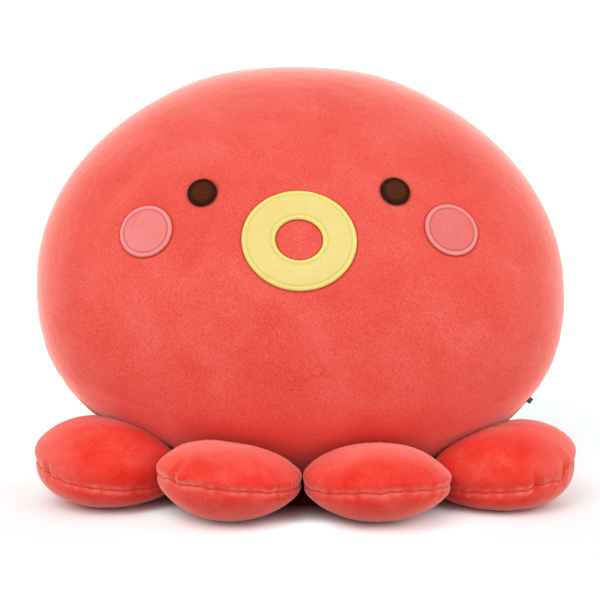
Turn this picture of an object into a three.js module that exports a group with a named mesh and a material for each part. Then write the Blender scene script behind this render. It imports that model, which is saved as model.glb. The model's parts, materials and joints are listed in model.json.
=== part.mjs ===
// Plush octopus cushion: a leaning, stuffed body carried on eight stuffed feet.
// Every cushion is two cut cloth panels that meet at a seam, with filling inside.
// The face is sewn on: cloth patches with a satin border round each edge.
// Lengths are millimetres, +Z is up, the face looks towards -Y and left is -X.

import * as THREE from 'three';

const degree = Math.PI / 180;

// Body: half sizes of its outline in the plane of its seam, and of its depth.
const bodyHalfWidth = 169.5;
const bodyCrownHeight = 139.5;
const bodySkirtHeight = 133;
const bodyHalfDepth = 88;
const bodyLean = 28 * degree;
const bodySetBack = 2.6;
const bodyFloorClearance = 9;

// Outline exponents: 2 is an ellipse, and more is squarer.
const crownExponent = 1.86;
const skirtExponent = 2.34;
const bodyBulgeExponent = 2.3;
const footOutlineExponent = 2.15;
const footTopExponent = 2.2;
const footSoleExponent = 2.2;
const footEdgeExponent = 0.5;

// Cloth and clearances.
const pileClothThickness = 1.6;
const patchClothThickness = 1.2;
const seamGap = 0.3;
const stuffingGap = 0.3;
const patchGap = 0.3;
const footToBodyGap = 0.75;
const footToFootGap = 3;
const soleFlatDepth = 0.5;
const roofInsetShare = 1.5;

// Feet: half sizes of the outline, and heights above the floor.
const frontFootHalfWidth = 42.6;
const rearFootHalfWidth = 39.6;
const footToeLength = 46.6;
const footRootLength = 46.6;
const rearFootRootLength = 56;
const frontFootCrown = 47;
const frontFootSeam = 25.5;
const frontToeRise = 4;
const frontSideFootCrown = 50;
const frontSideFootSeam = 24.5;
const frontSideDrop = 7.4;
const rearFootCrown = 49;
const rearFootSeam = 24.5;
const rearToeRise = 2;
const rearRootRise = 22;
const partHalfDepth = 145.6;

// Each place is a pair of feet, left and right, from the face round to the back.
// turn is how far the toe points away from straight ahead, and bearing the direction
// from the foot before it. seamLimitShare says how high under the body a seam may lie.
const footPlaces = [
  {
    place: 'front', halfWidth: frontFootHalfWidth, rootLength: footRootLength,
    turn: 12.5 * degree, bearing: 0,
    crown: frontFootCrown, seam: frontFootSeam, toeRise: frontToeRise,
    rootRise: 0, sideDrop: 0, seamLimitShare: 0.5,
  },
  {
    place: 'front_side', halfWidth: frontFootHalfWidth, rootLength: footRootLength,
    turn: 45 * degree, bearing: 28.3 * degree,
    crown: frontSideFootCrown, seam: frontSideFootSeam, toeRise: 0,
    rootRise: 0, sideDrop: frontSideDrop, seamLimitShare: 0.5,
  },
  {
    place: 'rear_side', halfWidth: rearFootHalfWidth, rootLength: footRootLength,
    turn: 112 * degree, bearing: 106.5 * degree,
    crown: rearFootCrown, seam: rearFootSeam, toeRise: 0,
    rootRise: 0, sideDrop: 0, seamLimitShare: 0.6,
  },
  {
    place: 'rear', halfWidth: rearFootHalfWidth, rootLength: rearFootRootLength,
    turn: 167.5 * degree, bearing: 127.4 * degree,
    crown: rearFootCrown, seam: rearFootSeam, toeRise: rearToeRise,
    rootRise: rearRootRise, sideDrop: 0, seamLimitShare: 1,
  },
];

// Face: radii over the satin borders, and places measured in the plane of the body seam.
const satinHeight = 2;
const satinShoulderShare = 0.6;
const satinCrestShare = 0.3;
const eyeRadius = 9.1;
const eyeBorderWidth = 2.1;
const eyeAside = 59.2;
const eyeRise = 25.2;
const cheekRadius = 17.6;
const cheekBorderWidth = 2.3;
const cheekAside = 94;
const cheekRise = 2.6;
const mouthRadius = 34.5;
const mouthHoleRadius = 14.3;
const mouthBorderWidth = 2.7;
const mouthDrop = 9;

// Care label: a folded ribbon caught in the body seam, low on the right.
const labelWidth = 4;
const labelReach = 2.8;
const labelThickness = 0.8;
const labelSeamAngle = -36 * degree;

// Mesh fineness: rings as shares of the way from a panel's middle to its seam.
const bodySegments = 32;
const bodyRingCount = 8;
const footSegments = 16;
const footRingShares = [0.2, 0.55, 0.83, 1];
const eyeSegments = 20;
const cheekSegments = 24;
const mouthSegments = 32;
const cheekRingShares = [0.55, 1];
const mouthRingShares = [0, 0.5, 1];

const coral = '#f2584b';
const paleCoral = '#f46a5c';
const fillingWhite = '#f4f1ea';
const butterYellow = '#fae48f';
const satinYellow = '#ffe76e';
const blushPink = '#f6837f';
const satinPink = '#fb9a95';
const darkBrown = '#56301c';
const satinBrown = '#3c1f12';
const labelGrey = '#4a4a4e';

function outwardGeometry(points, faces) {
  const volume = faces.reduce((sum, [a, b, c]) => {
    const area = new THREE.Vector3().crossVectors(points[b], points[c]);
    return sum + points[a].dot(area);
  }, 0);
  const turned = volume < 0 ? faces.map(([a, b, c]) => [a, c, b]) : faces;
  const geometry = new THREE.BufferGeometry();
  geometry.setFromPoints(points);
  geometry.setIndex(turned.flat());
  geometry.computeVertexNormals();
  return geometry;
}

// A closed skin over rings of points: from pole to pole, or round and round without poles.
// From turnedFrom on its bands split their quads the other way, so that two skins which
// run along each other in opposite orders still have their faces side by side.
function skin(rings, poles, turnedFrom = rings.length) {
  const count = rings[0].length;
  const points = rings.flat();
  const faces = [];
  const band = (a, b, turned) => {
    for (let i = 0; i < count; i += 1) {
      const j = (i + 1) % count;
      const [ai, aj, bi, bj] = [a * count + i, a * count + j, b * count + i, b * count + j];
      if (turned) faces.push([ai, aj, bi], [aj, bj, bi]);
      else faces.push([ai, aj, bj], [ai, bj, bi]);
    }
  };
  for (let k = 0; k + 1 < rings.length; k += 1) band(k, k + 1, k >= turnedFrom);
  if (poles) {
    const first = points.length;
    const lastRing = (rings.length - 1) * count;
    points.push(...poles);
    for (let i = 0; i < count; i += 1) {
      const j = (i + 1) % count;
      faces.push([first, j, i]);
      faces.push([first + 1, lastRing + i, lastRing + j]);
    }
  } else {
    band(rings.length - 1, 0, false);
  }
  return outwardGeometry(points, faces);
}

function ring(point, segments) {
  return Array.from({ length: segments }, (_, i) => point((2 * Math.PI * i) / segments));
}

function dome(surface, shares, segments) {
  return {
    pole: surface(0, 0),
    rings: shares.map((share) => ring((angle) => surface(share, angle), segments)),
  };
}

// A bowl of cloth between an outer and an inner dome, open at its seam.
function bowlGeometry(outer, inner) {
  const rings = [...outer.rings, ...inner.rings.reverse()];
  return skin(rings, [outer.pole, inner.pole], outer.rings.length);
}

// A solid between two domes that share their last ring.
function pillowGeometry(top, bottom) {
  const rings = [...top.rings, ...bottom.rings.slice(0, -1).reverse()];
  return skin(rings, [top.pole, bottom.pole], top.rings.length - 1);
}

function namedMesh(name, geometry, color, roughness) {
  const material = new THREE.MeshStandardMaterial({ color, roughness, metalness: 0 });
  const mesh = new THREE.Mesh(geometry, material);
  mesh.name = name;
  return mesh;
}

// How far a rounded outline reaches at an angle, as a share of its half sizes.
function outlineShare(angle, exponent) {
  const sum = Math.abs(Math.cos(angle)) ** exponent + Math.abs(Math.sin(angle)) ** exponent;
  return sum ** (-1 / exponent);
}

// A point of the body in its own leaning frame: x across, y to the back, z up the seam plane.
function bodyPoint(share, angle, side, inset, seamOffset) {
  const up = Math.sin(angle) > 0;
  const height = up ? bodyCrownHeight : bodySkirtHeight;
  const reachShare = share * outlineShare(angle, up ? crownExponent : skirtExponent);
  const bulgeShare = Math.sqrt(1 - share ** bodyBulgeExponent);
  return new THREE.Vector3(
    (bodyHalfWidth - inset) * reachShare * Math.cos(angle),
    side * (seamOffset + (bodyHalfDepth - inset) * bulgeShare),
    (height - inset) * reachShare * Math.sin(angle),
  );
}

const bodyRingShares = Array.from(
  { length: bodyRingCount },
  (_, i) => Math.sin(((i + 1) / bodyRingCount) * (Math.PI / 2)),
);

function bodyDome(side, inset, seamOffset) {
  const surface = (share, angle) => bodyPoint(share, angle, side, inset, seamOffset);
  return dome(surface, bodyRingShares, bodySegments);
}

function leanPoint(point) {
  return point.clone().applyAxisAngle(new THREE.Vector3(1, 0, 0), -bodyLean);
}

// The body's centre is as high as keeps its lowest point at the floor clearance.
const bodyCentreHeight = (() => {
  const back = bodyDome(1, 0, seamGap / 2);
  const heights = [...back.rings.flat(), back.pole].map((point) => leanPoint(point).z);
  return bodyFloorClearance - Math.min(...heights);
})();

// Below zero inside the body, above zero outside, for a point of the part.
function bodyLevel(x, y, z) {
  const across = y - bodySetBack;
  const above = z - bodyCentreHeight;
  const rise = across * Math.sin(bodyLean) + above * Math.cos(bodyLean);
  const depth = across * Math.cos(bodyLean) - above * Math.sin(bodyLean);
  const height = rise > 0 ? bodyCrownHeight : bodySkirtHeight;
  const exponent = rise > 0 ? crownExponent : skirtExponent;
  const sum = Math.abs(x / bodyHalfWidth) ** exponent + Math.abs(rise / height) ** exponent;
  const bulge = (depth / (bodyHalfDepth + seamGap / 2)) ** 2;
  return sum ** (bodyBulgeExponent / exponent) + bulge - 1;
}

const searchSteps = 48;

// Height of the body's underside over a place on the floor, or Infinity beside the body.
function bodyUnderside(x, y) {
  let low = 0;
  let high = 2 * bodyCentreHeight;
  for (let step = 0; step < searchSteps; step += 1) {
    const third = (high - low) / 3;
    if (bodyLevel(x, y, low + third) < bodyLevel(x, y, high - third)) high -= third;
    else low += third;
  }
  if (bodyLevel(x, y, low) > 0) return Infinity;
  let outside = 0;
  let inside = low;
  for (let step = 0; step < searchSteps; step += 1) {
    const middle = (outside + inside) / 2;
    if (bodyLevel(x, y, middle) > 0) outside = middle;
    else inside = middle;
  }
  return outside;
}

function addBody(group) {
  const outerOffset = seamGap / 2;
  const fillingInset = pileClothThickness + stuffingGap;
  const panel = (side) => bowlGeometry(
    bodyDome(side, 0, outerOffset),
    bodyDome(side, pileClothThickness, outerOffset),
  );
  const filling = pillowGeometry(bodyDome(-1, fillingInset, 0), bodyDome(1, fillingInset, 0));
  group.add(namedMesh('body_front_panel', panel(-1), coral, 0.95));
  group.add(namedMesh('body_back_panel', panel(1), coral, 0.95));
  group.add(namedMesh('body_filling', filling, fillingWhite, 1));
}

// The face side of the body as a surface over the seam plane, with its outward normal.
function faceSurface(x, rise) {
  const height = rise > 0 ? bodyCrownHeight : bodySkirtHeight;
  const exponent = rise > 0 ? crownExponent : skirtExponent;
  const sum = Math.abs(x / bodyHalfWidth) ** exponent + Math.abs(rise / height) ** exponent;
  const share = sum ** (1 / exponent);
  const bulgeShare = Math.sqrt(1 - share ** bodyBulgeExponent);
  const steep = bodyBulgeExponent * sum ** (bodyBulgeExponent / exponent - 1);
  const slope = (along, half) => (
    (steep * Math.sign(along) * Math.abs(along / half) ** (exponent - 1)) / half
  );
  const normal = new THREE.Vector3(
    slope(x, bodyHalfWidth),
    (-2 * bulgeShare) / bodyHalfDepth,
    slope(rise, height),
  );
  return {
    point: new THREE.Vector3(x, -(seamGap / 2 + bodyHalfDepth * bulgeShare), rise),
    normal: normal.normalize(),
  };
}

// A function that lays polar places round a centre onto the face, raised above the cloth.
function layOnFace(aside, rise) {
  const centre = faceSurface(aside, rise);
  const across = new THREE.Vector3(0, 0, 1).cross(centre.normal).negate().normalize();
  const upward = new THREE.Vector3().crossVectors(across, centre.normal).normalize();
  return (radius, angle, lift) => {
    const spot = centre.point.clone()
      .addScaledVector(across, radius * Math.cos(angle))
      .addScaledVector(upward, radius * Math.sin(angle));
    const { point, normal } = faceSurface(spot.x, spot.z);
    return point.addScaledVector(normal, lift);
  };
}

// A satin border is a low ridge with its crest in the middle.
function satinGeometry(lay, outerRadius, width, segments) {
  const shoulderIn = width * satinCrestShare;
  const profile = [
    [outerRadius - width, patchGap],
    [outerRadius, patchGap],
    [outerRadius, patchGap + satinHeight * satinShoulderShare],
    [outerRadius - shoulderIn, patchGap + satinHeight],
    [outerRadius - width + shoulderIn, patchGap + satinHeight],
    [outerRadius - width, patchGap + satinHeight * satinShoulderShare],
  ];
  return skin(profile.map(([r, lift]) => ring((angle) => lay(r, angle, lift), segments)));
}

function discGeometry(lay, radius, shares, segments) {
  const layer = (lift) => dome((share, angle) => lay(radius * share, angle, lift), shares, segments);
  return bowlGeometry(layer(patchGap + patchClothThickness), layer(patchGap));
}

function addSpot(group, name, aside, rise, size, colors) {
  const lay = layOnFace(aside, rise);
  const patchRadius = size.radius - size.border - patchGap;
  const patch = discGeometry(lay, patchRadius, size.shares, size.segments);
  const border = satinGeometry(lay, size.radius, size.border, size.segments);
  group.add(namedMesh(`${name}_patch`, patch, colors.cloth, 0.9));
  group.add(namedMesh(`${name}_border`, border, colors.satin, 0.45));
}

function addMouth(group) {
  const lay = layOnFace(0, -mouthDrop);
  const innerBorderRadius = mouthHoleRadius + mouthBorderWidth;
  const from = innerBorderRadius + patchGap;
  const to = mouthRadius - mouthBorderWidth - patchGap;
  const layer = (lift) => mouthRingShares.map((share) => (
    ring((angle) => lay(from + (to - from) * share, angle, lift), mouthSegments)
  ));
  const top = layer(patchGap + patchClothThickness);
  const patch = skin([...layer(patchGap), ...top.reverse()]);
  const outer = satinGeometry(lay, mouthRadius, mouthBorderWidth, mouthSegments);
  const inner = satinGeometry(lay, innerBorderRadius, mouthBorderWidth, mouthSegments);
  group.add(namedMesh('mouth_ring_patch', patch, butterYellow, 0.9));
  group.add(namedMesh('mouth_outer_border', outer, satinYellow, 0.45));
  group.add(namedMesh('mouth_inner_border', inner, satinYellow, 0.45));
}

function addFace(group) {
  const eye = {
    radius: eyeRadius, border: eyeBorderWidth, shares: [1], segments: eyeSegments,
  };
  const cheek = {
    radius: cheekRadius, border: cheekBorderWidth, shares: cheekRingShares, segments: cheekSegments,
  };
  const brown = { cloth: darkBrown, satin: satinBrown };
  const pink = { cloth: blushPink, satin: satinPink };
  for (const [word, side] of [['left', -1], ['right', 1]]) {
    addSpot(group, `${word}_eye`, side * eyeAside, eyeRise, eye, brown);
    addSpot(group, `${word}_cheek`, side * cheekAside, cheekRise, cheek, pink);
  }
  addMouth(group);
}

// The label stands in the seam plane, square to the seam, and clears the cloth.
function addLabel(group) {
  const seam = bodyPoint(1, labelSeamAngle, 1, 0, 0);
  const outward = new THREE.Vector3(
    Math.abs(seam.x / bodyHalfWidth) ** (skirtExponent - 1) / bodyHalfWidth,
    0,
    -(Math.abs(seam.z / bodySkirtHeight) ** (skirtExponent - 1)) / bodySkirtHeight,
  ).normalize();
  const geometry = new THREE.BoxGeometry(labelWidth, labelThickness, labelReach);
  const label = namedMesh('care_label', geometry, labelGrey, 0.6);
  label.position.copy(seam).addScaledVector(outward, seamGap + labelReach / 2);
  label.position.y = 0;
  label.rotation.y = Math.atan2(outward.x, outward.z);
  group.add(label);
}

// How far a foot's outline reaches from its centre in a direction across the floor.
function footReach(foot, direction) {
  const acrossShare = Math.cos(direction - foot.turn);
  const alongShare = -Math.sin(direction - foot.turn);
  const length = alongShare > 0 ? footToeLength : foot.rootLength;
  return Math.hypot(foot.halfWidth * acrossShare, length * alongShare);
}

// Centres of one side's feet: the front one by its twin and the part's depth, each other
// one as far from the foot before it as keeps the two apart.
function footCentres() {
  const centres = [];
  footPlaces.forEach((foot, i) => {
    if (i === 0) {
      const aside = footReach(foot, 0) + footToFootGap / 2;
      centres.push({ aside, back: footReach(foot, -Math.PI / 2) - partHalfDepth });
      return;
    }
    const before = centres[i - 1];
    const reach = footReach(footPlaces[i - 1], foot.bearing);
    const pitch = reach + footToFootGap + footReach(foot, foot.bearing + Math.PI);
    centres.push({
      aside: before.aside + pitch * Math.cos(foot.bearing),
      back: before.back + pitch * Math.sin(foot.bearing),
    });
  });
  return centres;
}

// The least height of a foot over its seam where the body presses on it.
const rootThickness = 2 * (pileClothThickness + stuffingGap);

// A function that gives points of one foot in its own frame: x across, -y out to the toe.
// The top stays under the body, and the sole is flat where it meets the floor.
function footSurface(foot, side, centre) {
  const heading = side * foot.turn;
  const ceiling = (x, y) => bodyUnderside(
    side * centre.aside + x * Math.cos(heading) - y * Math.sin(heading),
    centre.back + x * Math.sin(heading) + y * Math.cos(heading),
  ) - footToBodyGap;
  return (share, angle, face, inset, seamOffset) => {
    const reachShare = share * outlineShare(angle, footOutlineExponent);
    const acrossShare = reachShare * Math.cos(angle);
    const alongShare = reachShare * Math.sin(angle);
    const x = -side * (foot.halfWidth - inset) * acrossShare;
    const length = alongShare > 0 ? footToeLength : foot.rootLength;
    const y = -(length - inset) * alongShare;
    const roof = ceiling(x, y);
    const endRise = alongShare > 0 ? foot.toeRise * alongShare : foot.rootRise * alongShare ** 2;
    const freeSeam = foot.seam + endRise - foot.sideDrop * acrossShare;
    const seam = Math.min(freeSeam, (roof - rootThickness) * foot.seamLimitShare);
    const exponent = face > 0 ? footTopExponent : footSoleExponent;
    const bulgeShare = Math.max(0, 1 - share ** exponent) ** footEdgeExponent;
    if (face > 0) {
      const crown = seam + seamOffset + (foot.crown - foot.seam - inset) * bulgeShare;
      return new THREE.Vector3(x, y, Math.min(crown, roof - inset * roofInsetShare));
    }
    const sole = seam - seamOffset - (seam + soleFlatDepth - inset) * bulgeShare;
    return new THREE.Vector3(x, y, Math.max(sole, inset));
  };
}

function addFoot(part, foot, side, centre) {
  const surface = footSurface(foot, side, centre);
  const half = (face, inset, seamOffset) => dome(
    (share, angle) => surface(share, angle, face, inset, seamOffset),
    footRingShares,
    footSegments,
  );
  const panel = (face) => bowlGeometry(
    half(face, 0, seamGap / 2),
    half(face, pileClothThickness, seamGap / 2),
  );
  const fillingInset = pileClothThickness + stuffingGap;
  const filling = pillowGeometry(half(1, fillingInset, 0), half(-1, fillingInset, 0));
  const name = `${foot.place}_${side < 0 ? 'left' : 'right'}_foot`;
  const group = new THREE.Group();
  group.position.set(side * centre.aside, centre.back, 0);
  group.rotation.z = side * foot.turn;
  group.add(namedMesh(`${name}_top_panel`, panel(1), paleCoral, 0.95));
  group.add(namedMesh(`${name}_bottom_panel`, panel(-1), coral, 0.95));
  group.add(namedMesh(`${name}_filling`, filling, fillingWhite, 1));
  part.add(group);
}

const part = new THREE.Group();

const body = new THREE.Group();
body.position.set(0, bodySetBack, bodyCentreHeight);
body.rotation.x = -bodyLean;
addBody(body);
addFace(body);
addLabel(body);
part.add(body);

footCentres().forEach((centre, i) => {
  addFoot(part, footPlaces[i], -1, centre);
  addFoot(part, footPlaces[i], 1, centre);
});

export default part;
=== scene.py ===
# %% [markdown]
# This lesson dresses a plush octopus: a leaning stuffed body on eight stuffed feet.
# The CAD solids already say where every panel, patch and foot lies, so nothing here moves
# them. They are loaded first.

import json
import math

import bpy
import numpy as np
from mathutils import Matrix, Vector, noise
from mathutils.bvhtree import BVHTree


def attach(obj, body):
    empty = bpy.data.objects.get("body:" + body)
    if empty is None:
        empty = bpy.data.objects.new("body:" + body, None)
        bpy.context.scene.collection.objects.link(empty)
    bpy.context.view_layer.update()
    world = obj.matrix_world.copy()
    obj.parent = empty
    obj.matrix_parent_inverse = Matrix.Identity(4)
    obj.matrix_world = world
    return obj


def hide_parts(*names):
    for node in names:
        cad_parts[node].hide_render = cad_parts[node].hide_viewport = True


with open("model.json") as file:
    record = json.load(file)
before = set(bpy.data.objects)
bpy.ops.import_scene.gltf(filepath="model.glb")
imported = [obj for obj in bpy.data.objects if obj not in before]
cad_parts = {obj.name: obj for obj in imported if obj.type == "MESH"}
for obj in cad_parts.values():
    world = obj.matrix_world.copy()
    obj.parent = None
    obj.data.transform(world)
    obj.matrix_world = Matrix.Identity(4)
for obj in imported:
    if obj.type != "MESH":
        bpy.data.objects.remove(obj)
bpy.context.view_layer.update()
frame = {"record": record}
scene = bpy.context.scene
mm = 0.001
sole_places = {mount["name"]: mount["pos_m"] for mount in frame["record"]["mounts"]}


def put_in_scene(name, data):
    """A new object of its data, linked to the scene."""
    thing = bpy.data.objects.new(name, data)
    scene.collection.objects.link(thing)
    return thing


# %% [markdown]
# The picture was taken from the front and a little above, with a long lens, so the toy
# shows hardly any perspective. The camera stands well back on that line of sight.

# %% Camera
camera_target = Vector((-2.8 * mm, -1.4 * mm, 118.08 * mm))
camera_distance = 1.4
camera_rise = math.radians(10)
camera_data = bpy.data.cameras.new("studio_camera")
camera_data.sensor_width = 36
camera_data.lens = 129.83
camera = put_in_scene("studio_camera", camera_data)
camera.location = camera_target + camera_distance * Vector(
    (0, -math.cos(camera_rise), math.sin(camera_rise))
)
camera.rotation_euler = (math.pi / 2 - camera_rise, 0, 0)
scene.camera = camera
print("camera at", [round(v, 3) for v in camera.location])

# %% [markdown]
# Materials are node trees. A few small helpers keep them short: one turns a colour as
# screens write it into Blender's linear scale, one adds a node and wires its inputs, and
# the others add the nodes that come back often, and give the socket to go on from.

# %% Node helpers
def linear(red, green, blue):
    """A screen colour from 0 to 255 as a linear colour."""
    def channel(value):
        share = value / 255
        return share / 12.92 if share <= 0.04045 else ((share + 0.055) / 1.055) ** 2.4
    return (channel(red), channel(green), channel(blue), 1.0)


def add_node(tree, kind, inputs=(), **settings):
    """Adds a node. An input is given as a value or as another node's output socket."""
    node = tree.nodes.new(kind)
    for name, value in settings.items():
        setattr(node, name, value)
    for key, value in dict(inputs).items():
        if isinstance(value, bpy.types.NodeSocket):
            tree.links.new(value, node.inputs[key])
        else:
            node.inputs[key].default_value = value
    return node


def sum_of(tree, operation, first, second=0.0):
    """One sum of two numbers, by the name of its operation."""
    return add_node(tree, "ShaderNodeMath", {0: first, 1: second}, operation=operation).outputs[0]


def vector_of(tree, operation, *vectors, **scale):
    """One sum of vectors. Lengths and dot products come out as a number."""
    node = add_node(tree, "ShaderNodeVectorMath", {**dict(enumerate(vectors)), **scale},
                    operation=operation)
    return node.outputs["Value" if operation in ("LENGTH", "DOT_PRODUCT") else "Vector"]


def faded(tree, value, start, end, low=0.0, high=1.0, clamp=True):
    """Goes from low to high while a value goes from start to end."""
    return add_node(tree, "ShaderNodeMapRange", {
        "Value": value, "From Min": start, "From Max": end, "To Min": low, "To Max": high,
    }, clamp=clamp).outputs[0]


def blended(tree, share, first, second, **settings):
    """A mix of two colours."""
    return add_node(tree, "ShaderNodeMix", {"Factor": share, "A": first, "B": second},
                    data_type="RGBA", **settings).outputs["Result"]


def new_shader(name):
    """A material with a Principled shader, as (material, tree, shader, place)."""
    material = bpy.data.materials.new(name)
    material.use_nodes = True
    tree = material.node_tree
    place = add_node(tree, "ShaderNodeTexCoord").outputs["Object"]
    return material, tree, tree.nodes["Principled BSDF"], place


def finish_shader(tree, shader, color, height, strength, distance, plain_values):
    """Wires a colour and a bump to a shader, and sets what is the same all over."""
    bump = add_node(tree, "ShaderNodeBump", {
        "Strength": strength, "Distance": distance, "Height": height,
    })
    tree.links.new(color, shader.inputs["Base Color"])
    tree.links.new(bump.outputs[0], shader.inputs["Normal"])
    for socket, value in plain_values.items():
        shader.inputs[socket].default_value = value


def show_plain(tree, lit, plain, output):
    """Shows one shader to rays that should see a white studio, the other to the rest."""
    path = add_node(tree, "ShaderNodeLightPath").outputs
    seen = sum_of(tree, "MAXIMUM", path["Is Camera Ray"], path["Is Glossy Ray"])
    seen = sum_of(tree, "MAXIMUM", seen, path["Is Transmission Ray"])
    mix = add_node(tree, "ShaderNodeMixShader", {
        0: seen, 1: lit.outputs[0], 2: plain.outputs[0],
    })
    tree.links.new(mix.outputs[0], tree.nodes[output].inputs["Surface"])


print("helpers ready")

# %% [markdown]
# A product picture has a white room. The world lights everything softly, two big lamps
# add a little direction from above, and two low ones brighten the sides. Rays that go
# straight from the camera to the background see pure white.

# %% Studio
white = (1, 1, 1, 1)
world_level = 0.6
world = bpy.data.worlds.new("white_room")
world.use_nodes = True
scene.world = world
scene.view_settings.view_transform = "Standard"
room = world.node_tree
soft_light = room.nodes["Background"]
soft_light.inputs["Color"].default_value = white
soft_light.inputs["Strength"].default_value = world_level
backdrop = add_node(room, "ShaderNodeBackground", {"Color": white, "Strength": 1.0})
show_plain(room, soft_light, backdrop, "World Output")

lamps = {
    "key_lamp": ((-0.8, -1.5, 1.7), 1.6, 16.5),
    "fill_lamp": ((1.4, -1.2, 1.2), 1.4, 6.5),
    "left_side_lamp": ((-1.5, -0.2, 0.4), 1.1, 3.5),
    "right_side_lamp": ((1.5, -0.2, 0.4), 1.1, 3.5),
}
for name, (place, size, power) in lamps.items():
    lamp_data = bpy.data.lights.new(name, "AREA")
    lamp_data.size, lamp_data.energy = size, power
    lamp = put_in_scene(name, lamp_data)
    lamp.location = place
    lamp.rotation_euler = (camera_target - lamp.location).to_track_quat("-Z", "Y").to_euler()
print("lamps:", sorted(lamps))

# %% [markdown]
# The floor keeps the toy's soft shadow. It lights the toy as plain pale paper. What the
# camera sees of it is paper with painted light: brighter close to the toy, so that the
# shadow turns white as soon as it does in the picture. The painted light halves every
# 15 mm. Right under the toy the paper has a painted shade of deep red, as in a narrow gap
# between red cushions, and in the gap in front the painted light reaches a little further
# in. Far away the paper glows white.

# %% Floor
floor_half_size = 14.0
room_paper = (0.66, 0.66, 0.66, 1)
# Factors above 1 are painted light on the paper the camera sees, most near the toy and more behind
# it than in front. The deep red colour is painted shade under the toy.
painted_near_light = (2.0, 3.2, 3.25, 1)
painted_front_light, painted_back_light = (1.04, 1.14, 1.15, 1), (1.3, 1.47, 1.48, 1)
painted_shade_under_toy = (0.12, 0.012, 0.01, 1)
front_ends, back_starts = -0.1, 0.02
brightest_within, halving_distance = 0.115, 0.015
dark_ends, bright_starts = 0.09, 0.13
gap_half_width, gap_fades_by, gap_reach = 0.012, 0.035, 0.02
glow_starts, glow_ends = 0.3, 1.4

floor_mesh = bpy.data.meshes.new("floor")
floor_mesh.from_pydata([
    (x * floor_half_size, y * floor_half_size, 0) for x, y in ((-1, -1), (1, -1), (1, 1), (-1, 1))
], [], [(0, 1, 2, 3)])
floor = put_in_scene("floor", floor_mesh)
floor_paper, paper, paper_shader, paper_place = new_shader("floor_paper")
for socket, value in {"Base Color": room_paper, "Roughness": 1, "Specular IOR Level": 0}.items():
    paper_shader.inputs[socket].default_value = value
paper_spot = add_node(paper, "ShaderNodeSeparateXYZ", {0: paper_place}).outputs
away = vector_of(paper, "LENGTH", paper_place)
behind = faded(paper, paper_spot["Y"], front_ends, back_starts)
halvings = faded(paper, away, brightest_within, brightest_within + halving_distance, clamp=False)
nearness = sum_of(paper, "POWER", 0.5, halvings)
painted_open_light = blended(paper, behind, painted_front_light, painted_back_light)
paper_with_painted_light = blended(paper, nearness, painted_open_light, painted_near_light)
off_middle = sum_of(paper, "ABSOLUTE", paper_spot["X"])
# Painted light reaches a little further under the toy in the gap between the front feet.
gap_light = faded(paper, off_middle, gap_half_width, gap_fades_by, gap_reach, 0.0)
lit = faded(paper, sum_of(paper, "ADD", away, gap_light), dark_ends, bright_starts)
# Painted shade under the toy, turning into the painted light around it.
seen_paper = add_node(paper, "ShaderNodeBsdfDiffuse", {
    "Color": blended(paper, lit, painted_shade_under_toy, paper_with_painted_light),
})
paper_glow = add_node(paper, "ShaderNodeEmission", {
    "Color": white, "Strength": faded(paper, away, glow_starts, glow_ends),
})
glowing_paper = add_node(paper, "ShaderNodeAddShader", {
    0: seen_paper.outputs[0], 1: paper_glow.outputs[0],
})
show_plain(paper, paper_shader, glowing_paper, "Material Output")
floor_mesh.materials.append(floor_paper)
print("floor", floor.name)

# %% [markdown]
# The cloth is a short, dense pile, brushed smooth. Its colour comes in soft patches where
# the pile lies one way or the other, with a fine mottle of fibre tips on top, and it
# turns pale at grazing angles. In the seams the pile is parted and darker. Beside them a
# painted highlight stands for pile that stands up and catches light, and at the outer
# ends of the feet painted light makes the pile paler. Where cushions press together,
# painted shade deepens the red. The meshes carry that as three attributes.

# %% Pile cloth material
edge_starts, edge_ends = 0.32, 0.95


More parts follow.
